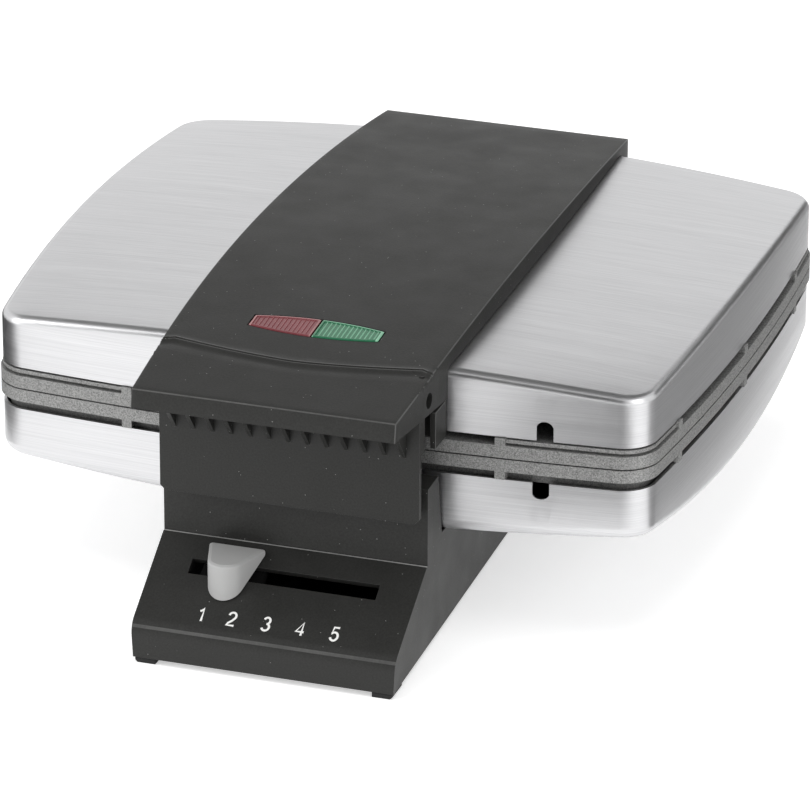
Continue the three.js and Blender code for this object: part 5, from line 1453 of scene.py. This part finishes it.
def rim_and_ribs(length, ribs):
    """Offsets and heights in millimetres across a lens: rim, ribs, rim."""
    line = list(RIM_STEPS)
    inset, floor_height = RIM_STEPS[-1]
    pitch = (length - inset - inset) / ribs
    for number in range(ribs):
        start = inset + number * pitch
        line.append((start + 0.3 * pitch, floor_height))
        line.append((start + 0.5 * pitch, floor_height + RIB_HEIGHT))
        line.append((start + 0.7 * pitch, floor_height))
    line += [(length - offset, height) for offset, height in reversed(RIM_STEPS)]
    return line


def lens_half(x):
    """Half the depth of a lens at x. It is narrower towards its end."""
    return LENS_MIDDLE - LENS_SEAM - (LENS_MIDDLE - LENS_END) * share(x, LENS_HALF)


def lens_row(j, half):
    """How far row j lies from the lens's middle, and its height in millimetres."""
    if j < RIM_COUNT:
        shift, height = RIM_STEPS[j]
        return -half + shift * MM, height
    if j == RIM_COUNT:
        return 0.0, RIM_STEPS[-1][1]
    shift, height = RIM_STEPS[2 * RIM_COUNT - j]
    return half - shift * MM, height


LENS_COLUMNS = rim_and_ribs(LENS_LENGTH, RIB_LINES)
print("each lens has", len(LENS_COLUMNS), "columns over", round(LENS_LENGTH, 1), "mm")

# %% [markdown]
# ## The indicator lenses
# A thin frame around the field is paler than the colour inside it, and one flank of each
# rib gets a painted highlight. Both are a second, lighter material set by the place of the face.
# Real glass with a lamp behind it would also work, but the lamps are off, and an opaque
# coloured plastic is what such a lens looks like then.

# %% Lenses
# Widths of the pale frame and of a lit flank, in millimetres
FRAME_BACK = 0.9
FRAME_OUTER = 1.0
FRAME_INNER = 0.7
FIELD_INSET = 1.2
FLANK = 0.45
NEXT_TO_RIM = 1.5


def lens_point(side, i, j):
    """The point in column i and row j. Where rim meets rim, the lower one counts."""
    offset, height = LENS_COLUMNS[i]
    x = side * (LENS_SPLIT / 2 + offset * MM)
    y, row_height = lens_row(j, lens_half(x))
    on_rim = j < RIM_COUNT - 1 or j > RIM_COUNT + 1
    at_end = i < RIM_COUNT - 1 or i > len(LENS_COLUMNS) - RIM_COUNT
    if on_rim and at_end:
        height = min(height, row_height)
    elif on_rim:
        height = row_height
    y += LENS_Y
    return Vector((x, y, strap_top(y) + LENS_PROUD + height * MM))


def rib_crests():
    """Offsets of the ribs' crests. The rim's own bevel isn't one of them."""
    crests = [offset for offset, height in LENS_COLUMNS if RIM_STEPS[-1][1] < height < RIM_STEPS[1][1]]
    return [offset for offset in crests if NEXT_TO_RIM < offset < LENS_LENGTH - NEXT_TO_RIM]


def make_lens(name, side, material, frame_and_highlight_material, node):
    """side is -1 for the left lens and 1 for the right one."""
    bm = bmesh.new()
    bent_grid(bm, len(LENS_COLUMNS) - 1, 2 * RIM_COUNT, lambda i, j: lens_point(side, i, j))
    crests = rib_crests()

    # Faces of the paler frame, and of one flank of each rib, which gets a painted highlight.
    def pale(c):
        offset = (side * c.x - LENS_SPLIT / 2) / MM
        half = lens_half(c.x)
        at_back = c.y > LENS_Y + half - FRAME_BACK * MM
        if at_back or offset > LENS_LENGTH - FRAME_OUTER or offset < FRAME_INNER:
            return True
        in_field = abs(c.y - LENS_Y) < half - FIELD_INSET * MM
        return in_field and any(0 < offset - crest < FLANK for crest in crests)
    for face in faces_where(bm, pale):
        face.material_index = 1
    border = [e for e in bm.edges if e.is_boundary]
    made = bmesh.ops.extrude_edge_only(bm, edges=border)
    lower = [g for g in made["geom"] if isinstance(g, bmesh.types.BMVert)]
    for face in {f for v in lower for f in v.link_faces}:
        face.material_index = 0
    bmesh.ops.translate(bm, vec=(0, 0, -LENS_DEPTH), verts=lower)
    bmesh.ops.holes_fill(bm, edges=[e for e in bm.edges if e.is_boundary], sides=0)
    face_outwards(bm)
    lens = piece_from(bm, name, material, "lid", (node,), sharp=25)
    lens.data.materials.append(frame_and_highlight_material)


make_lens("lens_red", -1, RED, RED_LENS_FRAME_AND_HIGHLIGHT, "indicator_lens_red")
make_lens("lens_green", 1, GREEN, GREEN_LENS_FRAME_AND_HIGHLIGHT, "indicator_lens_green")

# %% [markdown]
# ## Pieces that keep the shape of the CAD model
# The guard with its ribs, the bracket, the hinge arms, the feet and the bottom plate
# are already right in the CAD model, apart from their knife-sharp edges.
# Each is copied, its loose triangles are merged back into flat faces,
# and every edge gets a small rounding that catches the light. On the guard and the bracket
# the rounding also gets the paler edge finish, a painted highlight.
# Drawing them anew would only repeat the sizes that the model already holds.

# %% Softened copies
SAME_PLACE = 2e-6
# Angles between faces, in degrees
SAME_PLANE = 1.0
FOLDED = 25.0
PLASTIC_ROUNDING = 0.3 * MM
ARM_ROUNDING = 0.4 * MM
FOOT_ROUNDING = 0.25 * MM


def softened_copy(node, name, body, slot, width, edge_highlight_material=None):
    """A CAD piece with merged faces and rounded edges."""
    bm = bmesh.new()
    bm.from_mesh(nodes[node].data)
    bmesh.ops.remove_doubles(bm, verts=bm.verts[:], dist=SAME_PLACE)
    flat = math.radians(SAME_PLANE)
    bmesh.ops.dissolve_limit(bm, angle_limit=flat, verts=bm.verts[:], edges=bm.edges[:])
    item = piece_from(bm, name, slot_material[slot], body, (node,), sharp=FOLDED)
    round_edges(item, width, FOLDED, edge_highlight_material)


softened_copy("handle_guard", "grip_guard", "lid", "black_plastic", PLASTIC_ROUNDING, BLACK_EDGE_HIGHLIGHT)
softened_copy("handle_bracket", "guard_bracket", "lid", "black_plastic", PLASTIC_ROUNDING, BLACK_EDGE_HIGHLIGHT)
softened_copy("base_bottom_plate", "pedestal_floor", "base", "black_plastic", PLASTIC_ROUNDING)
for word in ("left", "right"):
    softened_copy("hinge_arm_" + word, "lid_arm_" + word, "lid", "bright_steel", ARM_ROUNDING)
    for end in ("front", "back"):
        softened_copy(f"foot_{end}_{word}", f"rubber_foot_{end}_{word}", "base", "rubber", FOOT_ROUNDING)

# %% [markdown]
# ## Sizes of the pedestal
# The pedestal is a long black box under the halves. From a rounded crease its front
# slants back to a ridge, and on that panel sit the slot, the knob and the numbers.
# Everything on the panel is placed by how far down the slope it lies and how far out,
# so it stays on the panel if the angle changes.

# %% Pedestal sizes
BASE_FRONT_Y = -160.0 * MM
BASE_BACK_Y = 158.0 * MM
BASE_FRONT_HALF = 54.3 * MM
BASE_BACK_HALF = 47.3 * MM
BASE_FLARE = 1.8 * MM
BASE_BOTTOM_Z = 2.5 * MM
BASE_WALL = 2.6 * MM
CREASE_Z = 16.3 * MM
CREASE_ROUND = 8.0 * MM
RIDGE_Y = -121.4 * MM
RIDGE_Z = 40.6 * MM
RIDGE_STEP = 0.9 * MM
CREASE_STEPS = 12
CREASE_LIT = (5, 7)
HORN_TOP_Z = 73.6 * MM
HORN_BACK_Y = -106.5 * MM
HORN_FOOT = (-101.5 * MM, 47.0 * MM)
TOWER_FRONT_Y = 146.4 * MM
TOWER_TOP_Z = 73.0 * MM
DECK_FRONT_Y = -96 * MM
DECK_BACK_Y = 142 * MM
PANEL_ANGLE = math.atan2(RIDGE_Z - CREASE_Z, RIDGE_Y - BASE_FRONT_Y)
CREASE_TURN = math.pi / 2 - PANEL_ANGLE
CREASE_CENTRE_Z = CREASE_Z - CREASE_ROUND * math.tan(CREASE_TURN / 2)
SLOT_X = -0.2 * MM
SLOT_LENGTH = 78.4 * MM
SLOT_WIDTH = 7.2 * MM
SLOT_DOWN = 14.7 * MM
PANEL_NORMAL = Vector((0, -math.sin(PANEL_ANGLE), math.cos(PANEL_ANGLE)))
PANEL_DOWN = Vector((0, -math.cos(PANEL_ANGLE), -math.sin(PANEL_ANGLE)))


def panel_point(x, down, out):
    """A place on the slanted panel: down its slope from the ridge, and out of its face."""
    return Vector((x, RIDGE_Y, RIDGE_Z)) + PANEL_DOWN * down + PANEL_NORMAL * out


def base_half(y, z):
    """Half the width of the pedestal. It draws in to the back and leans out upwards."""
    along = (y - BASE_FRONT_Y) / (BASE_BACK_Y - BASE_FRONT_Y)
    up = min(1.0, max(0.0, (z - BASE_BOTTOM_Z) / (RIDGE_Z - BASE_BOTTOM_Z)))
    return BASE_FRONT_HALF + (BASE_BACK_HALF - BASE_FRONT_HALF) * along + BASE_FLARE * up


def deck_height(x, y):
    """Height of the deck, just under the lower cover."""
    return crown(-1, x, y - CENTRE_Y) - SEAT_GAP


print("panel slants at", round(math.degrees(PANEL_ANGLE), 1), "degrees")

# %% [markdown]
# ## The side outline of the pedestal
# Seen from the side the pedestal has one closed outline: the front wall, the crease,
# the panel, the ridge with its small step, the horn that rises beside the cover,
# the deck under it and the tower at the back. One outline pulled across gives
# the whole body, and every edge in it runs cleanly from left to right.

# %% Side outline


def side_outline():
    """Corners of the pedestal's side as pairs of Y and Z, from the front foot round the top."""
    centre_y = BASE_FRONT_Y + CREASE_ROUND
    points = [(BASE_FRONT_Y, BASE_BOTTOM_Z)]
    for angle in steps(math.pi, math.pi - CREASE_TURN, CREASE_STEPS):
        y = centre_y + CREASE_ROUND * math.cos(angle)
        points.append((y, CREASE_CENTRE_Z + CREASE_ROUND * math.sin(angle)))
    wall_y = RIDGE_Y + RIDGE_STEP
    points += [(RIDGE_Y, RIDGE_Z), (wall_y, RIDGE_Z), (wall_y, HORN_TOP_Z)]
    points += [(HORN_BACK_Y, HORN_TOP_Z), HORN_FOOT]
    points += [(y, deck_height(0, y)) for y in steps(DECK_FRONT_Y, DECK_BACK_Y, 17)]
    points += [(TOWER_FRONT_Y, deck_height(0, TOWER_FRONT_Y)), (TOWER_FRONT_Y, TOWER_TOP_Z)]
    points += [(BASE_BACK_Y, TOWER_TOP_Z), (BASE_BACK_Y, BASE_BOTTOM_Z)]
    return points


print("side outline has", len(side_outline()), "corners")

# %% [markdown]
# ## The body of the pedestal
# The outline is pulled across a width of two units and then stretched to the true width
# at each height and depth, so that the sides draw in towards the back and lean out
# upwards. The deck is bent to the dome of the lower cover.

# %% Pedestal body
# Where the body is cut, as a share of its half width
BODY_CUTS = [-0.6, -0.2, 0.2, 0.6]
DECK_ABOVE = 30 * MM


def flat_face(bm, points):
    """One face through a ring of points."""
    return bm.faces.new([bm.verts.new(p) for p in points])


def pull_body(bm):
    """The closed body of the pedestal, without its slot."""
    outline = [Vector((-1.0, y, z)) for y, z in side_outline()]
    pull(bm, [flat_face(bm, outline)], (2.0, 0, 0))
    cut_along(bm, 2, [RIDGE_Z])
    cut_along(bm, 0, BODY_CUTS)
    for v in bm.verts:
        v.co.x *= base_half(v.co.y, v.co.z)
    for v in bm.verts:
        on_deck = HORN_FOOT[0] + MM < v.co.y < TOWER_FRONT_Y - MM and v.co.z > DECK_ABOVE
        if on_deck:
            v.co.z = deck_height(v.co.x, v.co.y)


print("body is cut at", BODY_CUTS, "of its half width")

# %% [markdown]
# ## The slot and the finishes of the pedestal
# The slot is cut through the slanted panel while the body is still a skin. When the
# modifier gives the skin its wall, the slot gets its depth by itself. The step at the
# ridge and a narrow band of the crease, where light would shine, get paler finishes of
# their own, painted highlights. The floor is left open for the bottom plate.

# %% Pedestal
PEDESTAL_ROUNDING = 0.4 * MM
PEDESTAL_FOLD = 28.0
PANEL_SKIN = 0.02 * MM
PANEL_REACH = 45 * MM


def cut_slot(bm):
    """Opens the slot in the slanted panel."""
    start, end = SLOT_X - SLOT_LENGTH / 2, SLOT_X + SLOT_LENGTH / 2
    top, bottom = SLOT_DOWN - SLOT_WIDTH / 2, SLOT_DOWN + SLOT_WIDTH / 2

    def on_panel(c):
        offset = c - panel_point(0, 0, 0)
        return abs(offset.dot(PANEL_NORMAL)) < PANEL_SKIN and abs(offset.dot(PANEL_DOWN)) < PANEL_REACH
    for down in (top, bottom):
        cut(bm, panel_point(0, down, 0), PANEL_DOWN, on_panel)
    cut_along(bm, 0, [start, end], on_panel)

    def in_slot(c):
        down = (c - panel_point(0, 0, 0)).dot(PANEL_DOWN)
        return on_panel(c) and start < c.x < end and top < down < bottom
    bmesh.ops.delete(bm, geom=faces_where(bm, in_slot), context="FACES")


def open_floor(bm):
    """Deletes the lowest face."""
    floor_faces = [f for f in bm.faces if all(abs(v.co.z - BASE_BOTTOM_Z) < TINY for v in f.verts)]
    bmesh.ops.delete(bm, geom=floor_faces, context="FACES_ONLY")


def mark_highlit_faces(bm):
    """Painted highlights: material 1 for the step at the ridge, material 2 for the lit band of the
    crease.
    """
    turns = [CREASE_TURN * number / CREASE_STEPS for number in CREASE_LIT]
    low_z, high_z = (CREASE_CENTRE_Z + CREASE_ROUND * math.sin(turn) for turn in turns)

    def on_step(c):
        return RIDGE_Y < c.y < RIDGE_Y + RIDGE_STEP and abs(c.z - RIDGE_Z) < TINY

    def on_crease(c):
        in_front = c.y < BASE_FRONT_Y + CREASE_ROUND and abs(c.x) < BASE_FRONT_HALF
        return in_front and low_z < c.z < high_z
    for index, test in ((1, on_step), (2, on_crease)):
        for face in faces_where(bm, test):
            face.material_index = index


def make_pedestal():
    """The skin of the pedestal, then its wall and its round edges."""
    bm = bmesh.new()
    pull_body(bm)
    cut_slot(bm)
    open_floor(bm)
    face_outwards(bm)
    mark_highlit_faces(bm)
    item = piece_from(bm, "pedestal_shell", BLACK, "base", ("base_housing",))
    # Material 1 is the painted highlight on the ridge step.
    item.data.materials.append(RIDGE_HIGHLIGHT)
    thicken(item, BASE_WALL)
    round_edges(item, PEDESTAL_ROUNDING, PEDESTAL_FOLD, BLACK_EDGE_HIGHLIGHT)


make_pedestal()

# %% [markdown]
# ## The ears
# Two ears on the tower hold the hinge pin between the arms of the lid. Each is a thick
# washer around the pin on a short stalk. They are a piece of their own, because the
# pedestal's wall comes from a modifier, and the ears are solid.

# %% Ears
STALK_BELOW_BORE = 0.4 * MM
STALK_INSET = 0.6 * MM
STALK_ROOT = 1.5 * MM
HINGE_Y = 153.0 * MM
HINGE_Z = 84.0 * MM
HINGE_RADIUS = 7.0 * MM
HINGE_BORE = 3.35 * MM
EAR_X = (36.5 * MM, 47.0 * MM)


def ear_ring(bm, x0, x1):
    """A thick washer with its axis along X."""
    turn = Matrix.Translation((x0, HINGE_Y, HINGE_Z)) @ Matrix.Rotation(math.pi / 2, 4, "Y")
    loops = []
    for radius in (HINGE_RADIUS, HINGE_BORE):
        made = bmesh.ops.create_circle(bm, segments=32, radius=radius, matrix=turn)
        loops += list({e for v in made["verts"] for e in v.link_edges})
    made = bmesh.ops.bridge_loops(bm, edges=loops)
    pull(bm, made["faces"], (x1 - x0, 0, 0))


def make_ears():
    """Both ears in one mesh."""
    bm = bmesh.new()
    for side in (-1, 1):
        x0, x1 = sorted(side * x for x in EAR_X)
        ear_ring(bm, x0, x1)
        root = (x0, TOWER_FRONT_Y + STALK_INSET, TOWER_TOP_Z - STALK_ROOT)
        block(bm, root, (x1, BASE_BACK_Y, HINGE_Z - HINGE_BORE - STALK_BELOW_BORE))
    face_outwards(bm)
    item = piece_from(bm, "pedestal_ears", BLACK, "base", ("base_housing",))
    round_edges(item, PEDESTAL_ROUNDING)


make_ears()

# %% [markdown]
# ## The temperature knob
# The knob is a small shield with a round nose, which slides along the slot.
# Its outline is drawn flat, pulled down to just above the slanted panel,
# and its upper edge is rounded. The top is dished a little for the fingertip.
# A short stem reaches down through the slot. It is in the same mesh, because both
# are one moulding.

# %% Knob
KNOB_X = -22.2 * MM
KNOB_HALF = 12.1 * MM
KNOB_REACH = 21.3 * MM
KNOB_NOSE = 7.5 * MM
KNOB_BACK_Y = RIDGE_Y - 3.7 * MM
KNOB_TOP_Z = 40.3 * MM
KNOB_GAP = 0.7 * MM
KNOB_DISH = 0.3 * MM
KNOB_DISH_RIM = 0.5 * MM
KNOB_PULL = 20 * MM
KNOB_CORNER = 1.8 * MM
KNOB_ROUNDING = 0.8 * MM
STEM = (14.0 * MM, 4.6 * MM)


def shield_outline():
    """Corners of the knob seen from above, with its nose towards the front."""
    nose_y = KNOB_BACK_Y - KNOB_REACH + KNOB_NOSE
    lean = math.atan2(KNOB_HALF - KNOB_NOSE, KNOB_REACH - KNOB_NOSE)
    points = [(KNOB_HALF, KNOB_BACK_Y), (-KNOB_HALF, KNOB_BACK_Y)]
    for angle in steps(math.pi + lean, 2 * math.pi - lean, 16):
        points.append((KNOB_NOSE * math.cos(angle), nose_y + KNOB_NOSE * math.sin(angle)))
    return points


def add_stem(bm):
    """The stem through the slot, square to the panel."""
    before = set(bm.verts)
    half_x, half_y = STEM[0] / 2, STEM[1] / 2
    block(bm, (-half_x, -half_y, -BASE_WALL), (half_x, half_y, KNOB_GAP + MM))
    turn = Matrix.Rotation(PANEL_ANGLE, 4, "X")
    for v in set(bm.verts) - before:
        v.co = turn @ v.co + panel_point(KNOB_X, SLOT_DOWN, 0)


def make_knob():
    """The shield, its round edges, its dish and its stem."""
    bm = bmesh.new()
    top = flat_face(bm, [Vector((KNOB_X + x, y, KNOB_TOP_Z)) for x, y in shield_outline()])
    lower = pull(bm, [top], (0, 0, -KNOB_PULL))
    for v in {v for f in lower for v in f.verts}:
        down = (RIDGE_Y - v.co.y) / math.cos(PANEL_ANGLE)
        v.co.z = panel_point(0, down, 0).z + KNOB_GAP / math.cos(PANEL_ANGLE)
    back = [e for e in bm.edges if all(abs(v.co.y - KNOB_BACK_Y) < TINY for v in e.verts)]
    upright = [e for e in back if abs(e.verts[0].co.x - e.verts[1].co.x) < TINY]
    soften(bm, upright, KNOB_CORNER, 5)
    rim = [e for e in bm.edges if all(abs(v.co.z - KNOB_TOP_Z) < TINY for v in e.verts)]
    soften(bm, rim, KNOB_ROUNDING, 4)
    flat_top = [f for f in bm.faces if all(abs(v.co.z - KNOB_TOP_Z) < TINY for v in f.verts)]
    bmesh.ops.inset_region(
        bm, faces=flat_top, thickness=KNOB_DISH_RIM, depth=-KNOB_DISH, use_even_offset=True,
    )
    face_outwards(bm)
    add_stem(bm)
    piece_from(bm, "slider_knob", GREY, "slider", ("temperature_knob",), sharp=30)


make_knob()

# %% [markdown]
# ## The figures of the scale
# Five printed figures stand beside the slot. A text object could make them, but the
# printed figures have strokes of one even width with round turns. So each is written as
# lines and parts of ellipses along the middle of its strokes.

# %% Figures
# Middles of the figures across the panel, in millimetres
NUMBER_PLACES = [-28.0, -15.3, -0.9, 13.2, 27.5]
NUMBER_HEIGHT = 6.0 * MM
NUMBER_DOWN = 36.3 * MM
STROKE = 0.95 * MM
INK_THICKNESS = 0.06 * MM


def arc(centre, radii, first, last, count=14):
    """Points on part of an ellipse, with its angles in degrees."""
    angles = [math.radians(a) for a in steps(first, last, count)]
    return [(centre[0] + radii[0] * math.cos(a), centre[1] + radii[1] * math.sin(a)) for a in angles]


# The strokes of each figure, in heights of the figure
FIGURES = [
    [[(0.10, 0.76), (0.22, 0.81), (0.30, 0.89), (0.34, 1.0), (0.34, 0.0)]],
    [arc((0.26, 0.73), (0.24, 0.27), 172, -32) + [(0.30, 0.36), (0.10, 0.18), (0.0, 0.0), (0.52, 0.0)]],
    [arc((0.25, 0.75), (0.21, 0.25), 160, -85), arc((0.25, 0.26), (0.25, 0.27), 85, -162)],
    [[(0.40, 0.0), (0.40, 1.0), (0.0, 0.29), (0.55, 0.29)]],
    [[(0.48, 1.0), (0.12, 1.0), (0.05, 0.50)] + arc((0.25, 0.31), (0.25, 0.32), 140, -160)],
]
print("strokes of the figures:", [len(figure) for figure in FIGURES])

# %% [markdown]
# ## The figures as ink
# A curve with a bevel gives each line its width. The curve is turned into a mesh,
# pressed flat to the thickness of ink, and laid on the slanted panel.
# A flat picture of the figures could be laid there too, but it would need its own map,
# and real strokes stay sharp from close by.

# %% Numbers
FIGURE_MIDDLE = 0.27


def stroke_mesh(points):
    """A stroke of even width along a line of points, pressed flat."""
    curve = bpy.data.curves.new("stroke", "CURVE")
    curve.dimensions = "3D"
    curve.bevel_depth = STROKE / 2
    curve.bevel_resolution = 2
    curve.use_fill_caps = True
    spline = curve.splines.new("POLY")
    spline.points.add(len(points) - 1)
    for knot, (x, y) in zip(spline.points, points):
        knot.co = (x * NUMBER_HEIGHT, y * NUMBER_HEIGHT, 0.0, 1.0)
    item = bpy.data.objects.new("stroke", curve)
    scene.collection.objects.link(item)
    ready = item.evaluated_get(bpy.context.evaluated_depsgraph_get())
    mesh = bpy.data.meshes.new_from_object(ready)
    bpy.data.objects.remove(item)
    return mesh


def make_numbers():
    """All figures in one mesh on the panel."""
    bm = bmesh.new()
    for figure, x_middle in zip(FIGURES, NUMBER_PLACES):
        before = set(bm.verts)
        for stroke in figure:
            bm.from_mesh(stroke_mesh(stroke))
        for v in set(bm.verts) - before:
            x = x_middle * MM + v.co.x - FIGURE_MIDDLE * NUMBER_HEIGHT
            down = NUMBER_DOWN + NUMBER_HEIGHT / 2 - v.co.y
            out = v.co.z * INK_THICKNESS / STROKE + INK_THICKNESS / 2
            v.co = panel_point(x, down, out)
    face_outwards(bm)
    piece_from(bm, "scale_numbers", WHITE_INK, "base", sharp=60)


make_numbers()

# %% [markdown]
# ## Sizes
# The box around the visible pieces is printed next to the box of the CAD model,
# so that both can be compared. They should agree to a fraction of a millimetre.

# %% The sizes
sizes = {"cad": [list(c) for c in cad_box], "visual": [list(c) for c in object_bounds()]}
for kind, box in sizes.items():
    print(kind, "box in mm:", [[round(value / MM, 1) for value in corner] for corner in box])
